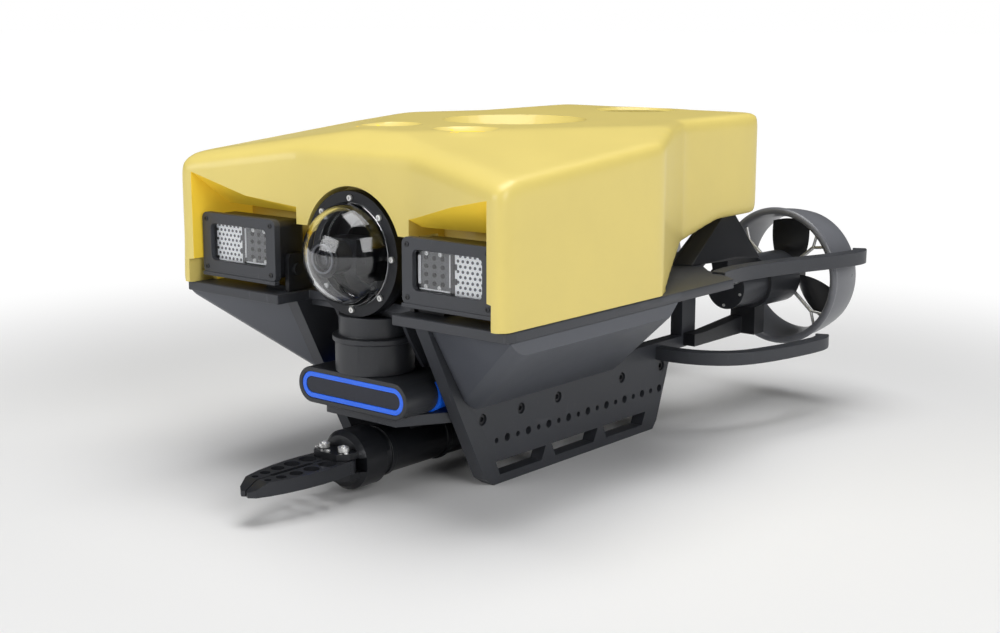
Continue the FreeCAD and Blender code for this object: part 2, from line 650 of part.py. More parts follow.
def jaw_pins():
    reach = JAW_THICK / 2 + SEAT + EAR_THICK
    pins = []
    for side in (-1, 1):
        shank = rod((side * JAW_PIVOT_X, JAW_PIVOT_Y, ARM_Z - reach), Z, PIN_RADIUS, 2 * reach)
        head = rod((side * JAW_PIVOT_X, JAW_PIVOT_Y, ARM_Z + reach), Z, 5.2, 3.2)
        pins.append(shank.fuse(head))
    return Part.makeCompound(pins)


# ---- Thrusters -----------------------------------------------------------------------
def thruster_place(shape):
    out = shape.copy()
    out.rotate(V(0, 0, 0), Z, -NOZZLE_TOE)
    out.translate(V(NOZZLE_X, NOZZLE_Y, NOZZLE_Z))
    return out


MOTOR_END = -12.0           # rear face of the motor, from the propeller's middle
STRUT_Y = -19.0
STRUT_ANGLES = (50.0, 130.0, 230.0, 310.0)


def blade(radius, hub, chord, pitch):
    sections = []
    for share in (0.0, 0.35, 0.7, 1.0):
        r = hub * 0.8 + (radius - hub * 0.8) * share
        width = chord * (0.62 + 0.9 * share - 0.62 * share * share)
        angle = math.atan2(pitch, 2 * math.pi * r)
        thick = 3.2 - 1.9 * share
        run, rise = math.cos(angle) * width / 2, math.sin(angle) * width / 2
        bend_x, bend_y = -math.sin(angle) * thick, math.cos(angle) * thick
        tips = [V(-run, -rise, r), V(run, rise, r)]
        over = Part.Arc(tips[0], V(bend_x, bend_y, r), tips[1]).toShape()
        under = Part.makeLine(tips[1], tips[0])
        sections.append(Part.Wire([over, under]))
    return Part.makeLoft(sections, True, False)


def propeller(radius, hub, chord, pitch, length):
    core = rod((0, -length / 2, 0), Y, hub, length)
    nose = cone((0, length / 2, 0), Y, hub, hub * 0.45, length * 0.5)
    one = blade(radius + 4, hub, chord, pitch)
    blades = [turned(one, V(0, 0, 0), Y, k * 360.0 / BLADE_COUNT) for k in range(BLADE_COUNT)]
    disc = rod((0, -30, 0), Y, radius, 60)
    return fused([core, nose] + [b.common(disc) for b in blades])


def shaft_bore(shape, length):
    return shape.cut(rod((0, -length / 2 - 1, 0), Y, SHAFT_RADIUS + 0.05, length * 0.7))


def side_propeller():
    body = propeller(NOZZLE_RADIUS - NOZZLE_WALL - 1.5 - BLADE_GAP, HUB_RADIUS, 44, 90, 18)
    return shaft_bore(body, 18)


def side_motor():
    front = MOTOR_END - MOTOR_LENGTH
    can = rod((0, front, 0), Y, MOTOR_RADIUS, MOTOR_LENGTH - 10)
    tail = cone((0, MOTOR_END - 10, 0), Y, MOTOR_RADIUS, HUB_RADIUS + 1, 10)
    cap = rod((0, front - CAP_LENGTH, 0), Y, CAP_RADIUS, CAP_LENGTH)
    gland = rod((CAP_RADIUS - 9, front - CAP_LENGTH - 9, 10), Y, 4.5, 10)
    shaft = rod((0, MOTOR_END, 0), Y, SHAFT_RADIUS, 12)
    return fused([can, tail, cap, gland, shaft]).cut(Part.makeCompound(side_struts()))


def side_struts():
    inner, outer = MOTOR_RADIUS - 3, NOZZLE_RADIUS - NOZZLE_WALL + 3
    fork = inner + (outer - inner) * 0.68
    spread = 9.0
    struts = []
    for angle in STRUT_ANGLES:
        stem = rod((0, STRUT_Y, inner), Z, 2.0, fork - inner + 1)
        legs = []
        for side in (-1, 1):
            run = V(side * spread, 0, outer - fork)
            legs.append(Part.makeCylinder(1.6, run.Length, V(0, STRUT_Y, fork), run))
        struts.append(turned(fused([stem] + legs), V(0, 0, 0), Y, angle))
    return struts


def side_nozzle():
    half = NOZZLE_LENGTH / 2
    inner, outer = NOZZLE_RADIUS - NOZZLE_WALL, NOZZLE_RADIUS
    throat = inner - 1.5
    points = [V(inner + 3, -half + 2, 0), V(outer - 3.5, -half, 0), V(outer, -half + 7, 0)]
    lip = Part.Arc(points[0], points[1], points[2]).toShape()
    out = Part.Arc(points[2], V(outer - 0.6, 0, 0), V(outer - 5, half, 0)).toShape()
    rear = Part.makeLine(V(outer - 5, half, 0), V(inner, half, 0))
    bore = Part.Arc(V(inner, half, 0), V(throat, 0, 0), points[0]).toShape()
    section = Part.Face(Part.Wire([lip, out, rear, bore]))
    return section.revolve(V(0, 0, 0), Y, 360).cut(Part.makeCompound(side_struts()))


def pod_space():
    front = MOTOR_END - MOTOR_LENGTH
    can = rod((0, front, 0), Y, MOTOR_RADIUS, MOTOR_LENGTH)
    cap = rod((0, front - CAP_LENGTH - 20, 0), Y, CAP_RADIUS, CAP_LENGTH + 20)
    return thruster_place(can.fuse(cap))


def rear_bracket():
    low, high, outer = 79.0, 99.0, SKID_FACE + SKID_THICK
    arm = prism_yz([(424, low), (536, low), (536, high), (POST_END, 92), (424, 92)], SKID_FACE, outer)
    block = box(SKID_FACE, SKID_FACE + 30, 516, 536, low, NOZZLE_Z - 4)
    return fused([arm, block]).cut(pod_space())


def pylon_section(x, y, z, chord, thick):
    half = thick / 2
    nose = Part.Arc(V(x - half, y - chord / 2 + half, z), V(x, y - chord / 2, z),
                    V(x + half, y - chord / 2 + half, z)).toShape()
    tail = V(x, y + chord / 2, z)
    sides = [Part.makeLine(nose.Vertexes[1].Point, tail), Part.makeLine(tail, nose.Vertexes[0].Point)]
    return Part.Wire([nose] + sides)


def pylon():
    low = pylon_section(112, 492, NOZZLE_Z + 13, 76, 34)
    high = pylon_section(104, 432, F0 + TAIL_CUT_RISE, 62, 30)
    body = Part.makeLoft([low, high], True, True)
    return body.common(under_tail(60)).cut(pod_space()).cut(deck_plate())


def port_motor(y, z, radius, liner):
    can = rod((0, y, z - 34), Z, radius, 50)
    cap = cone((0, y, z - 44), Z, radius * 0.55, radius, 10)
    shaft = rod((0, y, z + 16), Z, SHAFT_RADIUS, 10)
    bore = rod((0, y, z - 30), Z, liner, 60)
    arms = []
    for k in range(3):
        arm = box(radius - 2, liner, -2.5, 2.5, 0, 12)
        arm.rotate(V(0, 0, 0), Z, 90 + k * 120)
        arm.translate(V(0, y, z - 16))
        arms.append(arm.common(bore))
    return fused([can, cap, shaft] + arms)


def port_propeller(y, z, radius, hub):
    body = shaft_bore(propeller(radius, hub, 34, 70, 14), 14)
    body.rotate(V(0, 0, 0), X, 90)
    body.translate(V(0, y, z + 25))
    return body


MID_PROP_Z = F0 + 80
REAR_PROP_Z = F0 + 92


def tether_socket():
    level = DECK_TOP + 11.5
    plate = box(14, 58, 392, 398, DECK_TOP, DECK_TOP + 24)
    shell = rod((36, 386, level), Y, 10, 6)
    nose = ring((36, 398, level), Y, 11, 7, 16)
    return fused([plate, shell, nose])


def skid_screws():
    screws = []
    for side in (-1, 1):
        for y in SKID_SCREW_Y:
            screws.append(rod((side * SKID_FACE - side * 5, y, SKID_SCREW_Z), X * side, 4.6, 3.4))
    return Part.makeCompound(screws)


def main():
    os.makedirs("parts", exist_ok=True)
    nodes = {}
    nodes["float_block"] = float_block()
    nodes["port_liner_mid"] = port_liner(PORT_MID_Y, PORT_MID_RADIUS, DECK_LOW, F0 + FLOAT_HEIGHT - 22)
    nodes["port_liner_rear"] = port_liner(PORT_REAR_Y, PORT_REAR_RADIUS, F0 + TAIL_CUT_RISE - 16,
                                          F0 + FLOAT_HEIGHT - 16)
    nodes["deck_plate"] = deck_plate()
    nodes["cross_members"] = cross_members()
    nodes["skid_screws"] = skid_screws()
    nodes["tether_socket"] = tether_socket()
    nodes["camera_housing"] = camera_housing()
    nodes["camera_flange"] = camera_flange()
    nodes["camera_dome"] = camera_dome()
    nodes["dome_screws"] = dome_screws()
    nodes["camera_cradle"] = camera_cradle()
    nodes["camera_block"] = camera_block()
    nodes["camera_ring"] = camera_ring()
    nodes["camera_lens"] = camera_lens()
    nodes["sonar_body"] = sonar_body()
    nodes["sonar_ring"] = sonar_ring()
    nodes["sonar_face"] = sonar_face()
    nodes["sonar_tray"] = sonar_tray()
    nodes["nose_pod"] = nose_pod()
    nodes["arm_tube"] = arm_tube()
    nodes["arm_clamps"] = arm_clamps()
    nodes["arm_wrist"] = arm_wrist()
    nodes["jaw_pins"] = jaw_pins()
    struts = [thruster_place(s) for s in side_struts()]
    nodes["nozzle_struts"] = Part.makeCompound(struts + [mirrored(s) for s in struts])
    nodes["port_motor_mid"] = port_motor(PORT_MID_Y, MID_PROP_Z - 25, 18, PORT_MID_RADIUS)
    nodes["port_motor_rear"] = port_motor(PORT_REAR_Y, REAR_PROP_Z - 25, 15, PORT_REAR_RADIUS)
    nodes["port_propeller_mid"] = port_propeller(PORT_MID_Y, MID_PROP_Z - 25, PORT_MID_RADIUS - 2, 14)
    nodes["port_propeller_rear"] = port_propeller(PORT_REAR_Y, REAR_PROP_Z - 25,
                                                  PORT_REAR_RADIUS - 2, 12)
    paired = {"skid": skid_plate, "fairing": fairing, "bumper_upper": upper_bumper,
              "bumper_lower": lower_bumper, "lamp_body": lamp_body, "lamp_bezel": lamp_bezel,
              "lamp_window": lamp_window, "lamp_reflector": lambda: lamp_plate(True),
              "lamp_leds": lambda: lamp_plate(False), "lamp_bracket": lamp_bracket, "jaw": jaw,
              "rear_bracket": rear_bracket, "side_motor": lambda: thruster_place(side_motor()),
              "side_nozzle": lambda: thruster_place(side_nozzle()),
              "side_propeller": lambda: thruster_place(side_propeller())}
    for name, make in paired.items():
        shape = make()
        nodes[name + "_right"] = shape
        nodes[name + "_left"] = mirrored(shape)
    right = pylon()
    nodes["pylons"] = Part.makeCompound([right, mirrored(right)])
    whole = Part.makeCompound(list(nodes.values())).optimalBoundingBox(False)
    print("span", whole)
    for name, shape in nodes.items():
        shape = shape.copy()
        shape.translate(V(0, -whole.Center.y, 0))
        shape.exportStep("parts/%s.step" % name)
        solids = len(shape.Solids)
        print(name, shape.isValid(), solids, round(shape.Volume / 1000, 2))
    print(len(nodes), "nodes, origin shift", whole.Center.y, whole.ZMin)


main()
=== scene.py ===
"""Dresses an underwater inspection vehicle: foam float, twin-skid frame, lamps, dome camera,
imaging sonar, gripper and ducted thrusters."""
import json
import math

import bpy
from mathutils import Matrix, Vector

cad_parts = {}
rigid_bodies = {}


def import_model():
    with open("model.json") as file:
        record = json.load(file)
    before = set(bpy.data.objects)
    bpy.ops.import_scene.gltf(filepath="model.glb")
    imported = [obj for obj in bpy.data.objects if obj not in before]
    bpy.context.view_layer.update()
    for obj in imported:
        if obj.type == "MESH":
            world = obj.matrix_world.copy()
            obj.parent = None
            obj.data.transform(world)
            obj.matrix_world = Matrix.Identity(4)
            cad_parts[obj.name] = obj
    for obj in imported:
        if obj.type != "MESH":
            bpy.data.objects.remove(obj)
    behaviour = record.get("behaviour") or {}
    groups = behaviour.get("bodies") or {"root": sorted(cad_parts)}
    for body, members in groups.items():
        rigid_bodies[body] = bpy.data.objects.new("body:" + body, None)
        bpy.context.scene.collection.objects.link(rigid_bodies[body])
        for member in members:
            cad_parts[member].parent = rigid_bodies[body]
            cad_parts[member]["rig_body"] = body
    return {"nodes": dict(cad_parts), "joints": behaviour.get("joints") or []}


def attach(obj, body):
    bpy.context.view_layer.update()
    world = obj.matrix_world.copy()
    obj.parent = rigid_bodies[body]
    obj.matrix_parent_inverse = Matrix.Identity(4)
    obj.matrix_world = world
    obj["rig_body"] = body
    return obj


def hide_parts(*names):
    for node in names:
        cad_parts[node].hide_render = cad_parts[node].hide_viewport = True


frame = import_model()

bl_info = {
    "name": "Underwater inspection vehicle",
    "version": (1, 0, 0),
    "blender": (4, 5, 0),
    "location": "3D View > Sidebar > Vehicle",
    "description": "Builds the looks of a tethered underwater inspection vehicle",
    "category": "Object",
}

MM = 0.001
JOINTS = {joint["name"]: joint for joint in frame["joints"]}
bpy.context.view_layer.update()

# Places on the drawing, in mm: x from the middle, y behind the float's front corners, z over the ground
FLOAT_LOW = 172.0                 # the float's lower edge
CAMERA_AXIS = FLOAT_LOW + 41.0    # z of the camera's tube
CAMERA_FACE = 27.6                # y of the dome's flange
LAMP_MIDDLE = 127.0               # x of a lamp's middle, to each side
LAMP_LEVEL = FLOAT_LOW + 39.0     # z of a lamp window's middle
LAMP_BACKING = 18.0               # y of the sheet behind a lamp's window
GRIPPER_LEVEL = 31.0              # z of the arm and of the jaws' middle
JAW_PIN = (12, 2)                 # x to each side and y of the pin that a jaw swings on
SONAR_REAR_LEVEL = 88.6           # z of the housing behind the sonar's case
SIDE_MOTOR = (114, 590, 137)      # middle of a side thruster's duct
SIDE_MOTOR_TURN = math.radians(4.0)
ROW_SHIFT = JOINTS["camera_tilt"]["pos_m"][1] - CAMERA_FACE * MM


def place(x, y, z):
    """A place on the drawing as a point of the frame."""
    return Vector((x * MM, y * MM + ROW_SHIFT, z * MM))


def drawn(point):
    """A point of the frame as a place on the drawing."""
    return point[0] / MM, (point[1] - ROW_SHIFT) / MM, point[2] / MM


def in_mm(length):
    """A setting in metres as a size on the drawing."""
    return round(length / MM, 4)


# ---- Modelling helpers ----------------------------------------------------------------
def deselect():
    """Leaves edit mode and selects nothing."""
    if bpy.context.object and bpy.context.object.mode != "OBJECT":
        bpy.ops.object.mode_set(mode="OBJECT")
    bpy.ops.object.select_all(action="DESELECT")


def choose(*objects):
    """Selects these objects alone, with the first one active."""
    deselect()
    for item in objects:
        item.hide_set(False)
        item.select_set(True)
    bpy.context.view_layer.objects.active = objects[0]


def edit(item, *steps):
    """Runs the steps in edit mode with everything in the piece selected."""
    choose(item)
    bpy.ops.object.mode_set(mode="EDIT")
    bpy.ops.mesh.select_all(action="SELECT")
    for step in steps:
        step()
    bpy.ops.object.mode_set(mode="OBJECT")


def smooth(item, degrees=35.0):
    """Shades a piece smooth, apart from edges sharper than the angle."""
    choose(item)
    bpy.ops.object.shade_smooth_by_angle(angle=math.radians(degrees))


def bevel(item, width, segments=2):
    """Rounds a piece's edges by a width in mm, as a live modifier."""
    rim = item.modifiers.new("Edge", "BEVEL")
    rim.width = width * bpy.context.scene.vehicle_sizes.edge_share * MM
    rim.segments = segments
    rim.limit_method = "ANGLE"
    rim.angle_limit = math.radians(30.0)
    rim.harden_normals = True


def apply_last(item):
    """Applies the modifier that a piece was given last."""
    choose(item)
    bpy.ops.object.modifier_apply(modifier=item.modifiers[-1].name)


def link(item):
    """Puts a new object into the scene."""
    bpy.context.scene.collection.objects.link(item)
    return item


def settle(item):
    """Takes an object's place, turn and scale into its mesh."""
    choose(item)
    bpy.ops.object.transform_apply(location=True, rotation=True, scale=True)
    return item


def outward():
    """A step in edit mode that turns all faces outwards."""
    bpy.ops.mesh.normals_make_consistent(inside=False)


def clean_copy(node, name):
    """A merged copy of a CAD node's mesh, free of the node's own marks."""
    item = link(bpy.data.objects.new(name, frame["nodes"][node].data.copy()))
    edit(item,
         lambda: bpy.ops.mesh.remove_doubles(threshold=2e-6),
         lambda: bpy.ops.mesh.dissolve_limited(angle_limit=math.radians(1.0)),
         outward)
    return item


def hand_over(item, node, material, stands_for=True):
    """Gives a finished piece its finish, its body and the CAD node that it stands for."""
    record = frame["nodes"][node]
    item.data.materials.clear()
    item.data.materials.append(finish_of(material))
    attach(item, record["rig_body"])
    if stands_for:
        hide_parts(node)
    return item


def ride_along(item, node, finish):
    """A small piece of the same body as a node, with its finish."""
    return hand_over(item, node, finish, stands_for=False)


def joined(base, *others):
    """Joins pieces into the first one."""
    choose(base, *others)
    bpy.ops.object.join()
    return base


def combine(base, tool, how):
    """Unites a piece with a tool or cuts the tool from it, and removes the tool."""
    step = base.modifiers.new("Combine", "BOOLEAN")
    step.object = tool
    step.operation = how
    step.solver = "EXACT"
    apply_last(base)
    bpy.data.objects.remove(tool, do_unlink=True)


def drawn_mesh(name, corners, edges=(), faces=()):
    """An object whose mesh is given corner by corner."""
    mesh = bpy.data.meshes.new(name)
    mesh.from_pydata(corners, edges, faces)
    return link(bpy.data.objects.new(name, mesh))


def hull_of(spots, name):
    """The smallest body without hollows round places on the drawing."""
    item = drawn_mesh(name, [place(*spot) for spot in spots])
    edit(item, bpy.ops.mesh.convex_hull, outward)
    return item


def disc(name, centre, axis, radius, depth, sides=24):
    """A round bar or disc round a place on the drawing, along X, Y or Z."""
    turn = {"X": (0, math.pi / 2, 0), "Y": (math.pi / 2, 0, 0), "Z": (0, 0, 0)}[axis]
    deselect()
    bpy.ops.mesh.primitive_cylinder_add(vertices=sides, radius=radius * MM, depth=depth * MM,
                                        location=place(*centre), rotation=turn)
    item = bpy.context.object
    item.name = name
    return settle(item)


def chamfer(item, width, segments=2):
    """Breaks every edge of a piece by a width in mm."""
    edit(item, lambda: bpy.ops.mesh.bevel(offset=width * MM, segments=segments, affect="EDGES"))


def slab(name, low, high, edge=0.4):
    """A square-sided piece between two opposite corners, its edges broken."""
    deselect()
    first, last = place(*low), place(*high)
    bpy.ops.mesh.primitive_cube_add(size=1.0, location=(first + last) / 2)
    item = bpy.context.object
    item.name = name
    item.scale = [abs(length) for length in last - first]    # a negative scale would turn it inside out
    chamfer(settle(item), edge)
    return item


def spun(name, profile, centre, along, across, steps):
    """Spins a profile of (radius, advance) points, in mm, round a line through a place."""
    start = place(*centre)
    along, across = Vector(along), Vector(across)
    item = drawn_mesh(name, [start + across * (r * MM) + along * (a * MM) for r, a in profile],
                      edges=[(i, i + 1) for i in range(len(profile) - 1)])
    edit(item,
         lambda: bpy.ops.mesh.spin(steps=steps, angle=2 * math.pi, center=start, axis=along),
         lambda: bpy.ops.mesh.select_all(action="SELECT"),
         lambda: bpy.ops.mesh.remove_doubles(threshold=4e-6),
         outward)
    return item


def screw_head(name, centre, facing, radius, tall):
    """A socket head: its seat is at the centre and it stands out along facing."""
    across = Vector((0, 0, 1)) if abs(facing[2]) < 0.5 else Vector((1, 0, 0))
    profile = [(0.0, tall * 0.35), (radius * 0.5, tall * 0.35), (radius * 0.55, tall),
               (radius * 0.88, tall), (radius, tall * 0.85), (radius, 0.0), (0.0, 0.0)]
    item = spun(name, profile, centre, facing, across, 20)
    smooth(item)
    return item


def copies(item, offsets, name):
    """Copies of a piece, each with its own mesh, joined with it."""
    whole = [item]
    for x, y, z in offsets:
        twin = item.copy()
        twin.data = item.data.copy()
        choose(link(twin))
        bpy.ops.transform.translate(value=(x * MM, y * MM, z * MM))
        whole.append(settle(twin))
    base = joined(*whole)
    base.name = name
    return base


def area_light(name, spot, aim, size, power):
    """A soft rectangular light at a spot, in metres, turned to its aim."""
    data = bpy.data.lights.new(name, "AREA")
    data.shape = "RECTANGLE"
    data.size, data.size_y = size
    data.energy = power
    item = link(bpy.data.objects.new(name, data))
    item.location = spot
    item.rotation_euler = (Vector(aim) - Vector(spot)).to_track_quat("-Z", "Y").to_euler()


# ---- Finishes --------------------------------------------------------------------------
# The colour sockets of a Mix node
MIX_A, MIX_B, MIX_RESULT = 6, 7, 2


def make_group(name, inputs, outputs):
    """A shader node group with its sockets, and its input and output nodes."""
    tree = bpy.data.node_groups.new(name, "ShaderNodeTree")
    for label, kind, value in inputs:
        entry = tree.interface.new_socket(name=label, in_out="INPUT", socket_type=kind)
        if value is not None:
            entry.default_value = value
    for label, kind in outputs:
        tree.interface.new_socket(name=label, in_out="OUTPUT", socket_type=kind)
    return tree, tree.nodes.new("NodeGroupInput"), tree.nodes.new("NodeGroupOutput")


def add(tree, kind, sockets=None, **properties):
    """A node with its properties set, and its sockets' values by their name or number."""
    node = tree.nodes.new(kind)
    for key, value in properties.items():
        setattr(node, key, value)
    preset(node, sockets or {})
    return node


def preset(node, sockets):
    """Sets the values of a node's sockets, by their name or number."""
    for key, value in sockets.items():
        node.inputs[key].default_value = value


def shaded_tree(target):
    """The node tree of a new material or world, and the shader in it."""
    target.use_nodes = True
    tree = target.node_tree
    return tree, tree.nodes.get("Principled BSDF") or tree.nodes["Background"]


def wire(tree, *links):
    """Links outputs to inputs, pair by pair."""
    for out, into in links:
        tree.links.new(out, into)


def grain_group():
    """Fine moulded or blasted grain: a tone, a roughness and a height that vary over the surface."""
    name = "Moulded grain"
    if name in bpy.data.node_groups:
        return bpy.data.node_groups[name]
    tree, source, sink = make_group(
        name,
        [("Place", "NodeSocketVector", None), ("Scale", "NodeSocketFloat", 900.0),
         ("Cloud scale", "NodeSocketFloat", 14.0), ("Tone spread", "NodeSocketFloat", 0.05),
         ("Roughness", "NodeSocketFloat", 0.5), ("Roughness spread", "NodeSocketFloat", 0.1)],
        [("Tone", "NodeSocketFloat"), ("Roughness", "NodeSocketFloat"), ("Height", "NodeSocketFloat")])
    fine = add(tree, "ShaderNodeTexNoise", {"Detail": 3.0})
    cloud = add(tree, "ShaderNodeTexNoise", {"Detail": 5.0, "Roughness": 0.6})
    tone = add(tree, "ShaderNodeMapRange", {"From Min": 0.3, "From Max": 0.7})
    low = add(tree, "ShaderNodeMath", {0: 1.0}, operation="SUBTRACT")
    high = add(tree, "ShaderNodeMath", {0: 1.0}, operation="ADD")
    rough = add(tree, "ShaderNodeMath", operation="MULTIPLY_ADD")
    centred = add(tree, "ShaderNodeMath", {1: 0.5}, operation="SUBTRACT")
    given, out = source.outputs, sink.inputs
    wire(tree,
         (given["Place"], fine.inputs["Vector"]),
         (given["Scale"], fine.inputs["Scale"]),
         (given["Place"], cloud.inputs["Vector"]),
         (given["Cloud scale"], cloud.inputs["Scale"]),
         (given["Tone spread"], low.inputs[1]),
         (given["Tone spread"], high.inputs[1]),
         (cloud.outputs["Fac"], tone.inputs["Value"]),
         (low.outputs[0], tone.inputs["To Min"]),
         (high.outputs[0], tone.inputs["To Max"]),
         (cloud.outputs["Fac"], centred.inputs[0]),
         (centred.outputs[0], rough.inputs[0]),
         (given["Roughness spread"], rough.inputs[1]),
         (given["Roughness"], rough.inputs[2]),
         (tone.outputs[0], out["Tone"]),
         (rough.outputs[0], out["Roughness"]),
         (fine.outputs["Fac"], out["Height"]))
    return tree


def scuff_group():
    """Thin scratches that cross a surface in two directions, as a mask."""
    name = "Handling scuffs"
    if name in bpy.data.node_groups:
        return bpy.data.node_groups[name]
    tree, source, sink = make_group(
        name,
        [("Place", "NodeSocketVector", None), ("Amount", "NodeSocketFloat", 0.5)],
        [("Mask", "NodeSocketFloat")])
    masks = []
    for turn, stretch in ((0.4, (9, 260, 60)), (2.1, (260, 14, 50))):
        spread = add(tree, "ShaderNodeMapping",
                     {"Rotation": (turn, turn * 0.5, turn * 0.3), "Scale": stretch})
        lines = add(tree, "ShaderNodeTexNoise", {"Scale": 1.0, "Detail": 2.0})
        cut = add(tree, "ShaderNodeMapRange", {"From Min": 0.70, "From Max": 0.76})
        wire(tree,
             (source.outputs["Place"], spread.inputs["Vector"]),
             (spread.outputs[0], lines.inputs["Vector"]),
             (lines.outputs["Fac"], cut.inputs["Value"]))
        masks.append(cut)
    both = add(tree, "ShaderNodeMath", operation="MAXIMUM")
    amount = add(tree, "ShaderNodeMath", operation="MULTIPLY")
    wire(tree,
         (masks[0].outputs[0], both.inputs[0]),
         (masks[1].outputs[0], both.inputs[1]),
         (both.outputs[0], amount.inputs[0]),
         (source.outputs["Amount"], amount.inputs[1]),
         (amount.outputs[0], sink.inputs["Mask"]))
    return tree


# name: colour, roughness, metallic, grain scale, grain height, tone spread, roughness spread, scuffs, coat
FINISHES = {
    "Float foam": ((0.79, 0.64, 0.18), 0.46, 0.0, 1100, 0.08, 0.02, 0.10, 0.0, 0.25),
    # Painted bounce light: a deeper gold than the foam, laid on faces inside the bays and dishes to stand for
    # light bounced between the yellow surfaces; GLOW makes it shine as well
    "Float painted bounce light": ((0.84, 0.585, 0.045), 0.55, 0.0, 900, 0.08, 0.03, 0.10, 0.0, 0.0),
    "Frame grey": ((0.040, 0.043, 0.051), 0.46, 0.0, 1500, 0.16, 0.10, 0.20, 0.35, 0.0),
    "Fairing grey": ((0.082, 0.088, 0.104), 0.40, 0.0, 1500, 0.10, 0.08, 0.20, 0.15, 0.0),
    "Anodised black": ((0.016, 0.017, 0.020), 0.34, 0.55, 2200, 0.08, 0.10, 0.15, 0.15, 0.0),
    "Sonar shell": ((0.026, 0.028, 0.033), 0.40, 0.0, 1800, 0.08, 0.05, 0.15, 0.05, 0.0),
    "Sonar face": ((0.010, 0.013, 0.026), 0.42, 0.0, 900, 0.05, 0.10, 0.20, 0.0, 0.0),
    "Blue band painted glow": ((0.010, 0.150, 0.95), 0.30, 0.0, 600, 0.02, 0.05, 0.05, 0.0, 0.3),
    "Dark moulding": ((0.015, 0.016, 0.019), 0.42, 0.0, 1500, 0.08, 0.10, 0.15, 0.10, 0.0),
    "Bright steel": ((0.78, 0.78, 0.77), 0.30, 0.75, 1800, 0.03, 0.04, 0.15, 0.3, 0.0),
    "Motor grey": ((0.055, 0.058, 0.066), 0.30, 0.4, 2000, 0.05, 0.06, 0.12, 0.2, 0.0),
    "Propeller black": ((0.020, 0.021, 0.025), 0.30, 0.0, 1500, 0.04, 0.08, 0.12, 0.1, 0.0),
    "Nozzle black": ((0.150, 0.155, 0.172), 0.30, 0.0, 1500, 0.06, 0.08, 0.15, 0.15, 0.0),
    "Gripper black": ((0.012, 0.013, 0.016), 0.32, 0.3, 1800, 0.06, 0.08, 0.15, 0.2, 0.0),
    "Jaw alloy": ((0.036, 0.038, 0.044), 0.30, 0.5, 1800, 0.05, 0.08, 0.15, 0.3, 0.0),
    "Reflector white painted glow": ((0.86, 0.87, 0.88), 0.35, 0.0, 1200, 0.03, 0.03, 0.08, 0.0, 0.0),
    "Lamp plate": ((0.14, 0.145, 0.15), 0.48, 0.0, 1200, 0.05, 0.06, 0.10, 0.0, 0.0),
    # Well painted shade black: near-black for the shade in the light plate's wells
    "Well painted shade black": ((0.003, 0.003, 0.004), 0.75, 0.0, 900, 0.0, 0.05, 0.05, 0.0, 0.0),
    "Lens glass": ((0.010, 0.012, 0.022), 0.05, 0.0, 400, 0.0, 0.20, 0.02, 0.0, 1.0),
}
# Painted light: finishes that glow though they are no lamps, and how strongly. The float's bays and dishes
# glow as painted bounce light, the lamps' reflectors as a painted brightening, and the sonar's blue band
# glows faintly
GLOW = {"Blue band painted glow": 0.07, "Float painted bounce light": 0.22, "Reflector white painted glow": 0.22}
# Finishes whose colour the user chooses, and the setting that holds it
CHOSEN = {
    "Float foam": "float_colour", "Float painted bounce light": "bounce_light_colour",
    "Frame grey": "frame_colour", "Blue band painted glow": "band_colour",
}


def colour_of(name):
    """A finish's colour: the user's choice where there is one, else the table's."""
    if name in CHOSEN:
        return tuple(getattr(bpy.context.scene.vehicle_colours, CHOSEN[name]))
    return FINISHES[name][0]


def finish_of(name):
    """The material of a finish, made when it is first asked for."""
    if name in bpy.data.materials:
        return bpy.data.materials[name]
    if name == "Clear glass":
        return clear_glass()
    _, rough, metal, scale, height, tone, spread, scuffs, coat = FINISHES[name]
    colour = (*colour_of(name), 1.0)
    material = bpy.data.materials.new(name)
    tree, shader = shaded_tree(material)
    # Painted light: the finishes in GLOW shine in their own colour though they are no lamps
    preset(shader, {"Metallic": metal, "Coat Weight": coat, "Coat Roughness": 0.08,
                    "Emission Color": colour, "Emission Strength": GLOW.get(name, 0.0)})
    spot = add(tree, "ShaderNodeTexCoord").outputs["Object"]
    grain = add(tree, "ShaderNodeGroup", node_tree=grain_group())
    preset(grain, {"Scale": scale, "Tone spread": tone, "Roughness": rough, "Roughness spread": spread})
    shade = add(tree, "ShaderNodeMix", data_type="RGBA", blend_type="MULTIPLY")
    preset(shade, {"Factor": 1.0, MIX_A: colour})
    wire(tree, (spot, grain.inputs["Place"]), (grain.outputs["Tone"], shade.inputs[MIX_B]))
    tint = shade.outputs[MIX_RESULT]
    if scuffs:
        marks = add(tree, "ShaderNodeGroup", node_tree=scuff_group())
        preset(marks, {"Amount": scuffs})
        worn = add(tree, "ShaderNodeMix", data_type="RGBA", blend_type="MIX")
        preset(worn, {MIX_B: (*[min(1.0, part * 1.7 + 0.02) for part in colour[:3]], 1.0)})
        wire(tree,
             (spot, marks.inputs["Place"]),
             (marks.outputs["Mask"], worn.inputs[0]),
             (tint, worn.inputs[MIX_A]))
        tint = worn.outputs[MIX_RESULT]
    relief = add(tree, "ShaderNodeBump", {"Strength": height, "Distance": 0.0004})
    wire(tree,
         (tint, shader.inputs["Base Color"]),
         (grain.outputs["Roughness"], shader.inputs["Roughness"]),
         (grain.outputs["Height"], relief.inputs["Height"]),
         (relief.outputs[0], shader.inputs["Normal"]))
    return material


def clear_glass():
    """Clear plastic or glass with a faint haze."""
    material = bpy.data.materials.new("Clear glass")
    tree, shader = shaded_tree(material)
    preset(shader, {"Base Color": (0.97, 0.98, 1.0, 1.0), "Transmission Weight": 1.0, "IOR": 1.49})
    spot = add(tree, "ShaderNodeTexCoord").outputs["Object"]
    haze = add(tree, "ShaderNodeTexNoise", {"Scale": 60.0})
    level = add(tree, "ShaderNodeMapRange", {"To Min": 0.0, "To Max": 0.03})
    wire(tree,
         (spot, haze.inputs["Vector"]),
         (haze.outputs["Fac"], level.inputs["Value"]),
         (level.outputs[0], shader.inputs["Roughness"]))
    return material


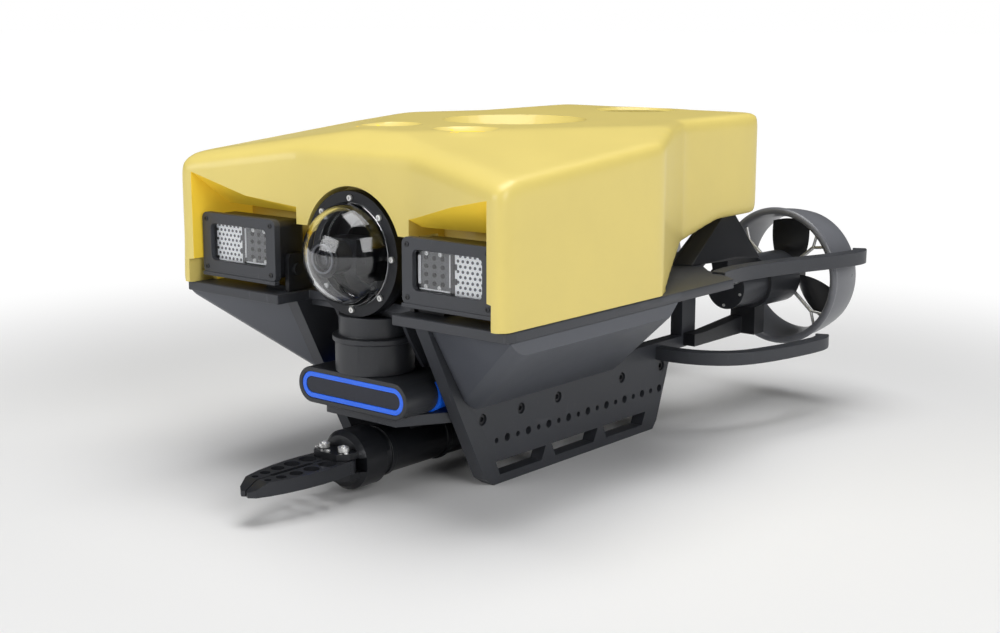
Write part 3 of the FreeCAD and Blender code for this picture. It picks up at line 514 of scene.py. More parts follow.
# ---- Sizes and colours that a user would change ---------------------------------------------
class VehicleSizes(bpy.types.PropertyGroup):
    edge_share: bpy.props.FloatProperty(
        name="Edge rounding", description="Rounding of machined edges, as a share of the drawing's",
        default=1.0, min=0.1, max=1.5)
    foam_cell: bpy.props.FloatProperty(
        name="Foam cell", description="Size of the cells in which the float's skin is remade",
        default=3.2 * MM, min=2.0 * MM, max=8.0 * MM, precision=4, unit="LENGTH")
    dome_radius: bpy.props.FloatProperty(
        name="Dome radius", description="Outer radius of the camera's dome",
        default=46.0 * MM, min=45.0 * MM, max=47.0 * MM, precision=4, unit="LENGTH")
    perforation: bpy.props.FloatProperty(
        name="Perforation", description="Radius of the grey discs painted as the shade in the lamps' reflector holes",
        default=1.35 * MM, min=0.5 * MM, max=1.9 * MM, precision=5, unit="LENGTH")


def colour_setting(label, description, value):
    """A colour that the user chooses."""
    return bpy.props.FloatVectorProperty(name=label, description=description, default=value,
                                         min=0.0, max=1.0, subtype="COLOR")


class VehicleColours(bpy.types.PropertyGroup):
    float_colour: colour_setting("Float", "Colour of the foam float", FINISHES["Float foam"][0])
    bounce_light_colour: colour_setting("Painted bounce light", "Colour of the painted bounce light on the float's bay ceilings, bay walls and dish fronts",
                                  FINISHES["Float painted bounce light"][0])
    frame_colour: colour_setting("Frame", "Colour of skids, deck and guards", FINISHES["Frame grey"][0])
    band_colour: colour_setting("Sonar band", "Colour of the sonar's ring and rear housing",
                                FINISHES["Blue band painted glow"][0])


class VehicleStage(bpy.types.PropertyGroup):
    key_power: bpy.props.FloatProperty(
        name="Light power", description="Power that the three lights take their shares of",
        default=30.0, min=0.0, unit="POWER")
    floor_tone: bpy.props.FloatProperty(
        name="Floor tone", description="Lightness of the floor", default=0.80, min=0.0, max=1.0,
        subtype="FACTOR")


# ---- Operators ---------------------------------------------------------------------------------
# node: (piece name, finish, edge rounding in mm)
PLAIN = {
    "deck_plate": ("deck", "Frame grey", 1.2),
    "cross_members": ("cross_bars", "Frame grey", 0.8),
    "sonar_tray": ("sonar_shelf", "Frame grey", 0.8),
    "arm_clamps": ("arm_saddles", "Dark moulding", 0.8),
    "arm_tube": ("arm_barrel", "Gripper black", 0.8),
    "arm_wrist": ("wrist_head", "Gripper black", 0.6),
    "nose_pod": ("pan_pod", "Sonar shell", 1.0),
    "sonar_body": ("sonar_case", "Sonar shell", 1.5),
    "sonar_ring": ("sonar_band", "Blue band painted glow", 0.4),
    "sonar_face": ("sonar_window", "Sonar face", 0.4),
    "camera_housing": ("camera_tube", "Anodised black", 0.6),
    "camera_flange": ("dome_clamp", "Anodised black", 0.7),
    "camera_cradle": ("camera_yoke", "Dark moulding", 0.4),
    "camera_block": ("camera_case", "Dark moulding", 1.0),
    "camera_ring": ("lens_hood", "Anodised black", 0.4),
    "tether_socket": ("tether_gland", "Anodised black", 0.5),
    "port_motor_mid": ("lift_motor_mid", "Motor grey", 0.5),
    "port_motor_rear": ("lift_motor_rear", "Motor grey", 0.5),
    "port_liner_mid": ("lift_duct_mid", "Dark moulding", 0.8),
    "port_liner_rear": ("lift_duct_rear", "Dark moulding", 0.8),
}
# The same for nodes that come as a right and a left one
PAIRED = {
    "skid": ("skid_plate", "Frame grey", 0.9),
    "fairing": ("side_fairing", "Fairing grey", 1.2),
    "bumper_upper": ("guard_upper", "Frame grey", 2.0),
    "bumper_lower": ("guard_lower", "Frame grey", 2.0),
    "lamp_body": ("lamp_case", "Dark moulding", 0.8),
    "lamp_bezel": ("lamp_frame", "Frame grey", 0.6),
    "lamp_bracket": ("lamp_hanger", "Dark moulding", 0.5),
    "rear_bracket": ("motor_bracket", "Dark moulding", 0.8),
    "side_motor": ("thrust_motor", "Motor grey", 0.5),
    "side_nozzle": ("thrust_duct", "Nozzle black", 0.5),
}
# Nodes that stay as they are and only get a finish
AS_BUILT = {
    "lamp_window_right": "Clear glass", "lamp_window_left": "Clear glass",
    "camera_lens": "Lens glass", "nozzle_struts": "Bright steel",
    "side_propeller_right": "Propeller black", "side_propeller_left": "Propeller black",
    "port_propeller_mid": "Propeller black", "port_propeller_rear": "Propeller black",
}
# Corners that move, picked by a test on their places on the drawing, and how far, mm
NUDGES = {
    "skid": [(lambda x, y, z: y < 12 and z > 150, (0, 20, 0))],
    "fairing": [(lambda x, y, z: abs(x) < 90 and y < 20 and z > 150, (0, 20, 0))],
    "deck_plate": [(lambda x, y, z: abs(x + 62) < 0.5 and y < 44, (-8, 0, 0)),
                   (lambda x, y, z: abs(x - 62) < 0.5 and y < 44, (8, 0, 0))],
}
# How much wider and deeper a node is made, and round which place on the drawing
WIDENED = {"nose_pod": (1.14, (0, 55, 100))}
SIDES = ((1, "right"), (-1, "left"))


def nudge(item, chosen, shift):
    """Moves the corners that a test on their places on the drawing picks."""
    edit(item, lambda: bpy.ops.mesh.select_all(action="DESELECT"))
    for vertex in item.data.vertices:
        vertex.select = chosen(*drawn(vertex.co))
    bpy.ops.object.mode_set(mode="EDIT")
    bpy.ops.transform.translate(value=[step * MM for step in shift])
    bpy.ops.object.mode_set(mode="OBJECT")


def dress(node, piece, finish, edge):
    """Makes a piece of a node's own shape, with its small changes, rounded edges and a finish."""
    item = clean_copy(node, piece)
    for chosen, shift in NUDGES.get(node.removesuffix("_right").removesuffix("_left"), []):
        nudge(item, chosen, shift)
    if node in WIDENED:
        share, centre = WIDENED[node]
        edit(item, lambda: bpy.ops.transform.resize(value=(share, share, 1.0),
                                                    center_override=place(*centre)))
    smooth(item)
    bevel(item, edge)
    hand_over(item, node, finish)


class DressPlain(bpy.types.Operator):
    """Gives the machined pieces their rounded edges and finishes"""
    bl_idname = "vehicle.machined_pieces"
    bl_label = "Machined pieces"

    def execute(self, context):
        for node, (piece, finish, edge) in PLAIN.items():
            dress(node, piece, finish, edge)
        for node, (piece, finish, edge) in PAIRED.items():
            for _, label in SIDES:
                dress(f"{node}_{label}", f"{piece}_{label}", finish, edge)
        for node, finish in AS_BUILT.items():
            item = frame["nodes"][node]
            item.data.materials.clear()
            item.data.materials.append(finish_of(finish))
        return {"FINISHED"}


class DressFloat(bpy.types.Operator):
    """Softens the foam float, cuts the lamp bays, the camera's arch and the roof ports crisply, and paints
    bounce light in the bays and dishes
    """
    bl_idname = "vehicle.foam_float"
    bl_label = "Foam float"

    # In mm: x to each side, y on the drawing, and heights over the float's lower edge
    UNDER = -12                    # where the cuts start, below the float
    BAY_INNER, BAY_OUTER = 68.5, 178
    BAY_MOUTH, BAY_KNEE, BAY_BACK = -14, 44, 72
    PILLAR_FOOT = [(170, UNDER), (183.5, UNDER), (170, 24), (183.5, 22)]
    TUNNEL_END = 183.6
    MID_PORT, REAR_PORT = 250, 452
    MID_RADIUS, REAR_RADIUS = 55, 40.5
    DISH = 46                      # x of a roof dish's middle
    DISH_BALL = 52                 # radius of the ball that cuts it
    QUICK_CELL = 5.0

    def execute(self, context):
        item = clean_copy("float_block", "float_shell")
        item = joined(item, *self.solid_front(), *self.solid_roof())
        cell = context.scene.vehicle_sizes.foam_cell
        foam = item.modifiers.new("Foam", "REMESH")
        foam.mode = "VOXEL"
        foam.voxel_size = cell
        apply_last(item)
        self.soften(item)
        for tool in self.cutters():
            combine(item, tool, "DIFFERENCE")
        smooth(item, 38.0)
        hand_over(item, "float_block", "Float foam")
        # Painted bounce light: the faces picked below get a deeper gold that glows, standing for light
        # bounced inside the bays and dishes
        item.data.materials.append(finish_of("Float painted bounce light"))
        for face in item.data.polygons:
            if self.gets_bounce_light(face):
                face.material_index = 1
        return {"FINISHED"}

    def gets_bounce_light(self, face):
        """Whether a face gets the painted bounce light: a lamp bay's downward-facing ceiling, its outer wall,
        or the front-facing part of a roof dish.
        """
        x, y, z = drawn(face.center)
        x, rise = abs(x), z - FLOAT_LOW
        ceiling = -12 < y < 73 and 69 < x < 177.9 and rise < 105 and face.normal.z < -0.3
        wall = -2 < y < 71 and abs(x - self.BAY_OUTER) < 0.2 and rise < 104 and abs(face.normal.x) > 0.95
        dish = rise > 132 and math.hypot(x - self.DISH, y - 120) < 27.5 and face.normal.y < -0.12
        return ceiling or wall or dish

    def solid_front(self):
        """Fills the float's nose, so that the rim is softened before the bays are cut."""
        plans = [[(side * 69, 28.4), (side * 179, -1.2), (side * 179, 190), (side * 69, 190)]
                 for side in (-1, 1)]
        plans.append([(-70, 28.2), (70, 28.2), (70, 190), (-70, 190)])
        return [hull_of([(x, y, z) for x, y in plan for z in (FLOAT_LOW, FLOAT_LOW + 103)], "nose")
                for plan in plans]

    def solid_roof(self):
        """Fills the middle port's mouth, the roof dishes and the rim behind the rear port."""
        plugs = [disc("port_plug", (0, self.MID_PORT, FLOAT_LOW + 123), "Z", 78, 46, 64)]
        for side in (-1, 1):
            plugs.append(disc("dish_plug", (side * self.DISH, 120, FLOAT_LOW + 131), "Z", 28, 30, 48))
        plugs.append(slab("tail_plug", (-57, 396, FLOAT_LOW + 118), (57, 498.8, FLOAT_LOW + 146), 0.1))
        return plugs

    def soften(self, item):
        """Smooths the rim most, and leaves the seats of the ducts and of the frame as cut."""
        rims = item.vertex_groups.new(name="rims")
        for vertex in item.data.vertices:
            x, y, z = drawn(vertex.co)
            rise = z - FLOAT_LOW
            held = 0.3 if math.hypot(x, y - self.REAR_PORT) < 56 else 1.0
            if rise > 2:
                rims.add([vertex.index], min(1.0, 0.1 + rise / 45) * held, "REPLACE")
        ease = item.modifiers.new("Ease", "SMOOTH")
        ease.factor = 0.8
        ease.iterations = 26
        ease.vertex_group = "rims"
        apply_last(item)
        trim = item.modifiers.new("Trim", "DECIMATE")
        trim.decimate_type = "COLLAPSE"
        trim.ratio = 0.5
        apply_last(item)

    def bay_section(self, y, inner_rise, outer_rise):
        """The four corners of a lamp bay at one depth: its ceiling rises outwards."""
        low = FLOAT_LOW + self.UNDER
        return [(self.BAY_INNER, y, low), (self.BAY_OUTER, y, low),
                (self.BAY_OUTER, y, FLOAT_LOW + outer_rise), (self.BAY_INNER, y, FLOAT_LOW + inner_rise)]

    def cutters(self):
        """The lamp bays, the camera's arch and tunnel, the two ports and the roof dishes."""
        low, bottom = FLOAT_LOW, FLOAT_LOW + self.UNDER
        tools = []
        mouth = self.bay_section(self.BAY_MOUTH, 97, 113)
        knee = self.bay_section(self.BAY_KNEE, 69, 71)
        back = self.bay_section(self.BAY_BACK, 69, 69)
        foot = [(x, y, low + rise) for y in (self.BAY_MOUTH, 26) for x, rise in self.PILLAR_FOOT]
        for side in (-1, 1):
            for corners in (mouth + knee, knee + back, foot):
                tools.append(hull_of([(side * x, y, z) for x, y, z in corners], "bay"))
        tools.append(slab("nose_bay", (-69.4, -20, bottom), (69.4, 64, low + 61.5), 1.0))
        tools.append(disc("arch", (0, 13.8, CAMERA_AXIS), "Y", 59, 67.6, 96))
        tools.append(disc("tunnel", (0, self.TUNNEL_END / 2, CAMERA_AXIS), "Y", 50, self.TUNNEL_END, 96))
        tools.append(slab("camera_slot", (-50, -20, bottom), (50, self.TUNNEL_END, CAMERA_AXIS), 0.2))
        for y, radius in ((self.MID_PORT, self.MID_RADIUS), (self.REAR_PORT, self.REAR_RADIUS)):
            tools.append(disc("port", (0, y, low + 80), "Z", radius, 240, 96))
        rear_mouth = [(0, 130), (self.REAR_RADIUS, 130), (self.REAR_RADIUS, 143), (43.5, 146.5), (43.5, 170),
                      (0, 170)]
        mid_mouth = [(0, 130), (self.MID_RADIUS, 130), (70, 146.5), (70, 170), (0, 170)]
        for y, profile in ((self.REAR_PORT, rear_mouth), (self.MID_PORT, mid_mouth)):
            tools.append(spun("port_mouth", profile, (0, y, low), (0, 0, 1), (1, 0, 0), 96))
        for side in (-1, 1):
            deselect()
            bpy.ops.mesh.primitive_uv_sphere_add(segments=96, ring_count=48, radius=self.DISH_BALL * MM,
                                                 location=place(side * self.DISH, 126, low + 146 + 43))
            tools.append(settle(bpy.context.object))
        return tools


class DressCamera(bpy.types.Operator):
    """Makes the camera's glass dome, the socket screws round it and the bands round its lens"""
    bl_idname = "vehicle.dome_camera"
    bl_label = "Dome camera"

    BALL_BACK = 4.7                # the dome ball's middle, behind the flange's face
    WALL = 4.0
    NECK_OUTER, NECK_INNER, NECK_END = 42.9, 40.0, 8.8
    SCREWS, SCREW_CIRCLE = 8, 49
    LENS_BANDS = [(12.5, 33.5, "Nozzle black"), (8.0, 34.2, "Anodised black")]
    BAND_WIDTH = 1.6

    def execute(self, context):
        outer = in_mm(context.scene.vehicle_sizes.dome_radius)
        hand_over(self.dome(outer), "camera_dome", "Clear glass")
        heads = []
        for number in range(self.SCREWS):
            turn = math.radians(number * 360.0 / self.SCREWS)
            spot = (self.SCREW_CIRCLE * math.sin(turn), CAMERA_FACE,
                    CAMERA_AXIS + self.SCREW_CIRCLE * math.cos(turn))
            heads.append(screw_head("dome_screw", spot, (0, -1, 0), 2.7, 2.1))
        hand_over(joined(*heads), "dome_screws", "Bright steel")
        for radius, depth, finish in self.LENS_BANDS:
            inner = radius - self.BAND_WIDTH
            band = spun("lens_band", [(inner, 0), (inner, 1.0), (radius, 1.0), (radius, 0), (inner, 0)],
                        (0, CAMERA_FACE - depth, CAMERA_AXIS), (0, 1, 0), (0, 0, 1), 48)
            smooth(band)
            ride_along(band, "camera_ring", finish)
        return {"FINISHED"}

    def quarter(self, radius):
        """Points (radius, advance) of a quarter circle round the ball's middle, from its tip."""
        turns = [math.pi / 2 * k / 24 for k in range(25)]
        return [(radius * math.sin(turn), self.BALL_BACK - radius * math.cos(turn)) for turn in turns]

    def dome(self, outer):
        """A shell a little more than half a ball, on a neck that the flange clamps."""
        rise = math.sqrt(outer ** 2 - self.BALL_BACK ** 2)
        profile = [(r, a) for r, a in self.quarter(outer) if a < -0.6]
        profile += [(rise, 0.0), (self.NECK_OUTER, 0.0), (self.NECK_OUTER, self.NECK_END),
                    (self.NECK_INNER, self.NECK_END)]
        profile += [(r, a) for r, a in reversed(self.quarter(outer - self.WALL)) if r < self.NECK_INNER]
        dome = spun("glass_dome", profile, (0, CAMERA_FACE, CAMERA_AXIS), (0, 1, 0), (0, 0, 1), 96)
        smooth(dome, 40.0)
        return dome


class DressLamps(bpy.types.Operator):
    """Makes what is seen in the lamps: reflector with its holes as painted shade, light plate with painted
    shade in its wells and painted highlights on its edges, divider and screws
    """
    bl_idname = "vehicle.lamps"
    bl_label = "Lamps"

    HALF_WIDE, HALF_TALL = 38.4, 18   # of the sheets behind a window
    SHEET = 1.6                       # their thickness
    HOLE_ROWS, HOLE_STEP, ROW_STEP = 8, 5.2, 4.3
    WELL_ROWS, WELL_COLUMNS = 4, 3
    PLATE_SCREWS = [(-28, 14.2), (-13, 14.2), (-29, -13.6), (-14, -13.6)]
    FRAME_LOW = FLOAT_LOW + 9.0

    def execute(self, context):
        hole_radius = in_mm(context.scene.vehicle_sizes.perforation)
        for side, label in SIDES:
            self.reflector(side, label, hole_radius)
            self.light_plate(side, label)
            self.frame_details(side, label)
        return {"FINISHED"}

    def sheet(self, name, side, inner, outer):
        """A thin sheet behind the window, between two distances from the lamp's middle."""
        middle, front = side * LAMP_MIDDLE, LAMP_BACKING
        return slab(name, (middle + side * inner, front, LAMP_LEVEL - self.HALF_TALL),
                    (middle + side * outer, front + self.SHEET, LAMP_LEVEL + self.HALF_TALL), 0.3)

    def reflector(self, side, label, hole_radius):
        """The white sheet on the outer side, and staggered grey discs on it painted as the shade seen in its
        holes.
        """
        hand_over(self.sheet("reflector_sheet", side, 2.0, self.HALF_WIDE), f"lamp_reflector_{label}",
                  "Reflector white painted glow")
        first = (side * LAMP_MIDDLE + side * 5.6, LAMP_BACKING - 0.05, LAMP_LEVEL - 15.0)
        # Painted shade: the holes are not cut; grey discs stand for the shade seen through them
        hole = disc("perforation", first, "Y", hole_radius, 0.5, 12)
        rows = []
        for row in range(self.HOLE_ROWS):
            odd = row % 2
            rows += [(side * (odd * self.HOLE_STEP / 2 + self.HOLE_STEP * k), 0, row * self.ROW_STEP)
                     for k in range(7 - odd) if row or k]
        holes = copies(hole, rows, f"reflector_holes_{label}")
        ride_along(holes, f"lamp_reflector_{label}", "Motor grey")

    def light_plate(self, side, label):
        """The grey plate on the inner side with black discs painted as the shade in its wells, its divider,
        white strips painted as highlights on its edges, and its screws.
        """
        middle, level = side * LAMP_MIDDLE, LAMP_LEVEL
        leds, reflector = f"lamp_leds_{label}", f"lamp_reflector_{label}"
        hand_over(self.sheet("light_plate", side, -self.HALF_WIDE, -1.6), leds, "Lamp plate")
        # Painted shade: black discs stand for the shade in the plate's wells
        well = disc("well_shade_disc", (middle - side * 29.0, LAMP_BACKING - 0.3, level - 10.5), "Y", 1.9, 1.0, 16)
        spots = [(side * 9.0 * k, 0, 7.0 * row) for row in range(self.WELL_ROWS)
                 for k in range(self.WELL_COLUMNS) if row or k]
        ride_along(copies(well, spots, f"light_wells_{label}"), leds, "Well painted shade black")
        divider = slab(f"lamp_divider_{label}", (middle - side * 1.4, 16.6, level - 17),
                       (middle + side * 1.8, 18.6, level + 17), 0.3)
        teeth = [slab("tooth", (middle + side * 1.2, 16.8, level + z),
                      (middle + side * 4.6, 18.3, level + z + 5)) for z in (-9, 3)]
        ride_along(joined(divider, *teeth), leds, "Dark moulding")
        # Painted highlights: thin strips in the glowing reflector white along the plate's lower edge, beside
        # the divider and at the plate's far edge
        lines = [slab("edge_highlight_line", (middle - side * 36, 16.9, level - 16.4),
                      (middle - side * 3, 17.9, level - 15.4), 0.1),
                 slab("edge_highlight_line", (middle - side * 2.8, 16.6, level - 12),
                      (middle - side * 2.0, 17.8, level + 15), 0.1),
                 slab("edge_highlight_strip", (middle - side * 37.2, 16.4, level - 12),
                      (middle - side * 34.4, 17.6, level + 12), 0.5)]
        ride_along(joined(*lines), reflector, "Reflector white painted glow")
        heads = [screw_head("plate_screw", (middle + side * x, LAMP_BACKING - 0.1, level + z),
                            (0, -1, 0), 2.0, 1.3) for x, z in self.PLATE_SCREWS]
        ride_along(joined(*heads), leds, "Bright steel")

    def frame_details(self, side, label):
        """The four screws of a lamp's frame and the lip under it."""
        middle, low = side * LAMP_MIDDLE, self.FRAME_LOW
        heads = [screw_head("frame_screw", (middle + x, 9.1, low + z), (0, -1, 0), 2.3, 0.9)
                 for x in (-43.5, 43.5) for z in (6.5, 51.0)]
        ride_along(joined(*heads), f"lamp_bezel_{label}", "Dark moulding")
        lip = slab(f"lamp_lip_{label}", (middle - 49.3, 8.0, low - 2.0),
                   (middle + 49.3, 14.0, low + 1.6), 0.6)
        ride_along(lip, f"lamp_bezel_{label}", "Frame grey")


class DressGripper(bpy.types.Operator):
    """Makes the two perforated jaws and the pins they swing on"""
    bl_idname = "vehicle.gripper"
    bl_label = "Gripper"

    # The right jaw's plan, (x, y) in mm: a straight inner side with a slot, a tip and a bowed back
    OUTLINE = [(0.6, 2), (0.6, -24), (2.4, -26), (2.4, -70), (0.6, -72), (0.6, -99.5), (4.2, -101.0),
               (9.8, -97.0), (14.6, -86), (19.2, -70), (22.4, -52), (24.0, -34), (24.0, -16), (22.0, 2)]
    # Its holes: (x, y, radius)
    HOLES = [(12.4, -18, 8.0), (12.2, -36.5, 7.2), (11.6, -53.5, 6.0), (10.0, -69, 4.7), (8.0, -82, 3.1)]
    THICK = 12.0
    WRIST_SCREWS = [(0, 9), (-18, -1), (18, -1), (0, -5)]

    def execute(self, context):
        for side, label in SIDES:
            hand_over(self.jaw(side, label), f"jaw_{label}", "Jaw alloy")
        pins = [part for side in (-1, 1) for part in self.pin(side)]
        hand_over(joined(*pins), "jaw_pins", "Bright steel")
        heads = [screw_head("wrist_screw", (x, y, GRIPPER_LEVEL + 12.2), (0, 0, 1), 1.9, 1.4)
                 for x, y in self.WRIST_SCREWS]
        ride_along(joined(*heads), "arm_wrist", "Bright steel")
        return {"FINISHED"}

    def pin(self, side):
        """A jaw's pin with its crown and screw."""
        x, y = JAW_PIN
        top = GRIPPER_LEVEL + 12.4
        pin = disc("jaw_pin", (side * x, y, GRIPPER_LEVEL), "Z", 2.95, 24.6, 24)
        crown = disc("pin_crown", (side * x, y, top + 2.2), "Z", 4.9, 4.6, 20)
        chamfer(crown, 0.5, 1)
        return [pin, crown, screw_head("pin_screw", (side * x, y, top + 4.4), (0, 0, 1), 2.6, 1.2)]

    def jaw(self, side, label):
        """A jaw drawn from its outline, with a round heel, its holes and a sloped tip."""
        low, high = GRIPPER_LEVEL - self.THICK / 2, GRIPPER_LEVEL + self.THICK / 2
        x, y = JAW_PIN
        blade = drawn_mesh("jaw_blade", [place(side * x, y, low) for x, y in self.OUTLINE],
                           faces=[list(range(len(self.OUTLINE)))])
        edit(blade,
             lambda: bpy.ops.mesh.extrude_region_move(
                 TRANSFORM_OT_translate={"value": (0, 0, self.THICK * MM)}),
             lambda: bpy.ops.mesh.select_all(action="SELECT"),
             outward)
        heel = disc("jaw_heel", (side * x, y, GRIPPER_LEVEL), "Z", 10.4, self.THICK, 48)
        cuts = [disc("jaw_hole", (side * x, y, GRIPPER_LEVEL), "Z", r, 40, 32) for x, y, r in self.HOLES]
        cuts.append(disc("pin_hole", (side * x, y, GRIPPER_LEVEL), "Z", 3.1, 40, 24))
        combine(blade, heel, "UNION")
        combine(blade, joined(*cuts), "DIFFERENCE")
        edit(blade, lambda: bpy.ops.mesh.bisect(
            plane_co=place(0, -87, high), plane_no=(0, -0.474, 0.88), use_fill=True, clear_outer=True))
        blade.name = f"jaw_{label}_plate"
        smooth(blade)
        bevel(blade, 0.8)
        return blade


class DressRear(bpy.types.Operator):
    """Makes the motors' pylons, the motors' small parts, the sonar's rear band and the skids' screws"""
    bl_idname = "vehicle.rear_and_small"
    bl_label = "Pylons and small parts"

    # A right pylon's corners: the wedge from the float's tail, and the neck down to the motor
    WEDGE = [(106, 368, 172.6), (124, 376, 172.6), (128, 396, 172.6), (128, 452, 172.6), (126, 504, 166),
             (96, 508, 166), (92, 452, 172.6), (94, 384, 172.6), (104, 436, 213.6), (117, 442, 213.6),
             (117, 468, 213.6), (97, 470, 213.6), (96, 444, 213.6)]
    NECK = [(97, 452, 173), (119, 452, 173), (97, 512, 170), (119, 512, 170),
            (98, 458, 150), (116, 458, 150), (98, 514, 150), (116, 514, 150)]
    SKID_SCREWS = (103.0, 157.0, 212.0, 315.0, 384.0)      # their y
    CAP_SCREWS = (0.2, 1.9, 3.2, 4.6, 5.6)                 # their turns round a motor, radians
    REAR_BAND = [(66, 135.4, 30.6), (98, 126, 29.0)]       # its y, width and height at both ends

    def execute(self, context):
        pylons = joined(*[self.pylon(side) for side in (-1, 1)])
        pylons.name = "motor_pylons"
        smooth(pylons)
        bevel(pylons, 1.6, 3)
        hand_over(pylons, "pylons", "Dark moulding")
        heads = [screw_head("skid_screw", (side * 80.2, y, 64.0), (side, 0, 0), 4.5, 3.2)
                 for side in (-1, 1) for y in self.SKID_SCREWS]
        hand_over(joined(*heads), "skid_screws", "Dark moulding")
        for side, label in SIDES:
            self.motor_parts(side, label)
        self.sonar_rear()
        return {"FINISHED"}

    def pylon(self, side):
        """The faceted fin that carries a side thruster."""
        wedge, neck = [hull_of([(side * x, y, z) for x, y, z in corners], "pylon")
                       for corners in (self.WEDGE, self.NECK)]
        combine(wedge, neck, "UNION")
        return wedge

    def motor_parts(self, side, label):
        """A side motor's cable gland with its nut, and the screws of its cap."""
        middle_x, middle_y, middle_z = SIDE_MOTOR
        along, across = math.cos(SIDE_MOTOR_TURN), math.sin(SIDE_MOTOR_TURN)

        def at(x, y, z):
            """A place given from the duct's middle, turned out with it."""
            return (side * (middle_x + x * along + y * across),
                    middle_y - x * across + y * along, middle_z + z)

        gland = disc("cable_gland", at(15, -125, 10), "Y", 5.4, 6.0, 12)
        nut = disc("gland_nut", at(15, -130.5, 10), "Y", 3.8, 5.6, 6)
        chamfer(gland, 0.5)
        chamfer(nut, 0.3)
        heads = [screw_head("cap_screw", at(20 * math.sin(turn), -120, 20 * math.cos(turn)),
                            (0, -1, 0), 1.6, 1.2) for turn in self.CAP_SCREWS]
        ride_along(joined(gland, nut, *heads), f"side_motor_{label}", "Bright steel")

    def sonar_rear(self):
        """The blue housing behind the sonar's case, a bar with round ends that narrows to the rear."""
        corners = []
        for y, width, tall in self.REAR_BAND:
            flat, radius = width / 2 - tall / 2, tall / 2
            for k in range(32):
                turn = 2 * math.pi * k / 32
                x = math.copysign(flat, math.cos(turn)) if abs(math.cos(turn)) > 1e-6 else 0.0
                corners.append((x + radius * math.cos(turn), y, SONAR_REAR_LEVEL + radius * math.sin(turn)))
        band = hull_of(corners, "sonar_rear_band")
        smooth(band)
        bevel(band, 1.0)
        ride_along(band, "sonar_body", "Blue band painted glow")


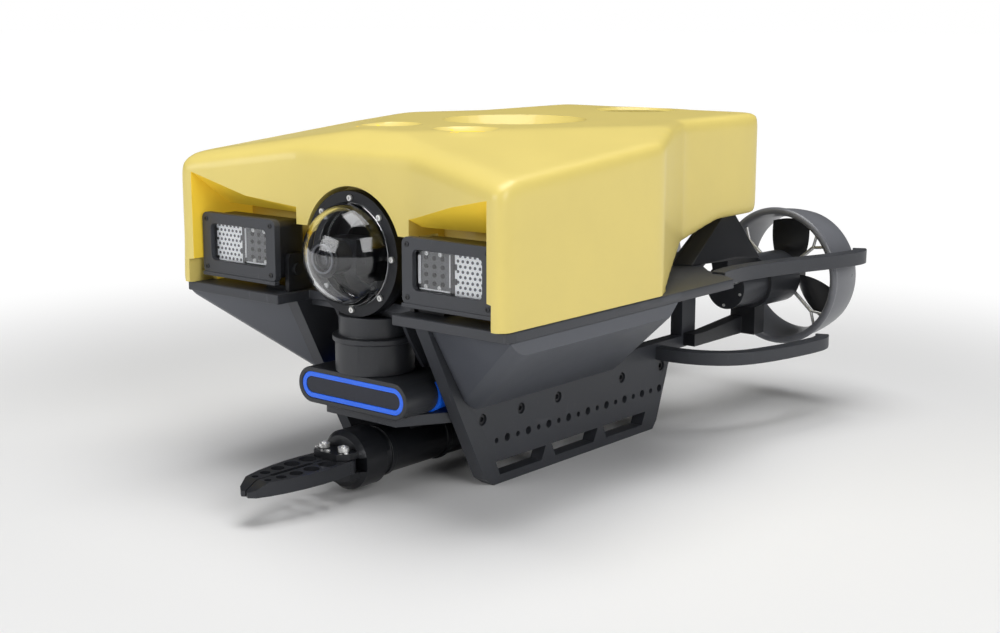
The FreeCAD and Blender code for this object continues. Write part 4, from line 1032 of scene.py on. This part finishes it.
class SetStage(bpy.types.Operator):
    """Sets the floor, the soft lights and the camera"""
    bl_idname = "vehicle.stage"
    bl_label = "Stage, lights and camera"

    # name: place, aim, size, all in metres, and share of the light power
    LIGHTS = {
        "Top light": ((0.1, 0.2, 2.4), (0, 0, 0.1), (1.7, 1.9), 1.62),
        "Side light": ((2.6, -0.7, 1.5), (0, 0, 0.15), (1.8, 1.6), 1.2),
        "Front light": ((-0.9, -2.8, 1.3), (0, -0.1, 0.15), (2.2, 1.4), 1.25),
    }
    FLOOR_FADE = {"From Min": 0.5, "From Max": 1.15}   # metres from the vehicle, where the floor turns white
    CAMERA_PLACE = (947.6, -905.3, 417.0)
    CAMERA_PITCH, CAMERA_AZIMUTH = math.radians(11.07), math.radians(39.89)
    LENS = 55.62

    def execute(self, context):
        look = context.scene.vehicle_stage
        self.floor(look.floor_tone)
        for name, (spot, aim, size, share) in self.LIGHTS.items():
            area_light(name, spot, aim, size, look.key_power * share)
        self.world()
        self.camera(context)
        return {"FINISHED"}

    def floor(self, floor_tone):
        """A pale floor round the vehicle that turns into plain white further out."""
        deselect()
        bpy.ops.mesh.primitive_plane_add(size=60, location=(0, 0, 0))
        floor = bpy.context.object
        floor.name = "floor"
        material = bpy.data.materials.new("Pale floor")
        tree, shader = shaded_tree(material)
        preset(shader, {"Roughness": 0.7, "Specular IOR Level": 0.2, "Emission Color": (1.0, 1.0, 1.0, 1.0)})
        spot = add(tree, "ShaderNodeTexCoord").outputs["Object"]
        reach = add(tree, "ShaderNodeVectorMath", operation="LENGTH")
        white = add(tree, "ShaderNodeMapRange", self.FLOOR_FADE, interpolation_type="SMOOTHSTEP")
        tone = add(tree, "ShaderNodeMapRange", {**self.FLOOR_FADE, "To Min": floor_tone, "To Max": 0.0},
                   interpolation_type="SMOOTHSTEP")
        wire(tree,
             (spot, reach.inputs[0]),
             (reach.outputs["Value"], white.inputs["Value"]),
             (reach.outputs["Value"], tone.inputs["Value"]),
             (tone.outputs[0], shader.inputs["Base Color"]),
             (white.outputs[0], shader.inputs["Emission Strength"]))
        floor.data.materials.append(material)

    def world(self):
        """White behind the vehicle, and a weaker glow all round it."""
        world = bpy.data.worlds.new("Studio")
        tree, glow = shaded_tree(world)
        preset(glow, {"Color": (1.0, 1.0, 1.0, 1.0)})
        seen = add(tree, "ShaderNodeLightPath").outputs["Is Camera Ray"]
        level = add(tree, "ShaderNodeMapRange", {"To Min": 0.06, "To Max": 1.0})
        wire(tree, (seen, level.inputs["Value"]), (level.outputs[0], glow.inputs["Strength"]))
        bpy.context.scene.world = world

    def camera(self, context):
        """The camera in front of the vehicle's right side, a little above it."""
        data = bpy.data.cameras.new("Camera")
        data.sensor_width = 36.0
        data.lens = self.LENS
        item = link(bpy.data.objects.new("Camera", data))
        item.location = place(*self.CAMERA_PLACE)
        item.rotation_euler = (math.pi / 2 - self.CAMERA_PITCH, 0.0, self.CAMERA_AZIMUTH)
        context.scene.camera = item
        context.scene.view_settings.view_transform = "Standard"


class VehiclePanel(bpy.types.Panel):
    """Lists the vehicle's settings, and its pieces in the order they are made"""
    bl_idname = "VIEW3D_PT_vehicle"
    bl_label = "Vehicle"
    bl_space_type = "VIEW_3D"
    bl_region_type = "UI"
    bl_category = "Vehicle"

    def draw(self, context):
        column = self.layout.column()
        for name, group in SETTINGS.items():
            for setting in group.__annotations__:
                column.prop(getattr(context.scene, name), setting)
        for operator in OPERATORS:
            column.operator(operator.bl_idname)


SETTINGS = {"vehicle_sizes": VehicleSizes, "vehicle_colours": VehicleColours, "vehicle_stage": VehicleStage}
OPERATORS = (DressPlain, DressFloat, DressCamera, DressLamps, DressGripper, DressRear, SetStage)
CLASSES = tuple(SETTINGS.values()) + OPERATORS + (VehiclePanel,)


def register():
    for item in CLASSES:
        bpy.utils.register_class(item)
    for name, group in SETTINGS.items():
        setattr(bpy.types.Scene, name, bpy.props.PointerProperty(type=group))


def unregister():
    for name in SETTINGS:
        delattr(bpy.types.Scene, name)
    for item in reversed(CLASSES):
        bpy.utils.unregister_class(item)


def main():
    register()
    for operator in OPERATORS:
        group, action = operator.bl_idname.split(".")
        getattr(getattr(bpy.ops, group), action)()
    bpy.context.view_layer.update()


if __name__ == "__main__":
    main()
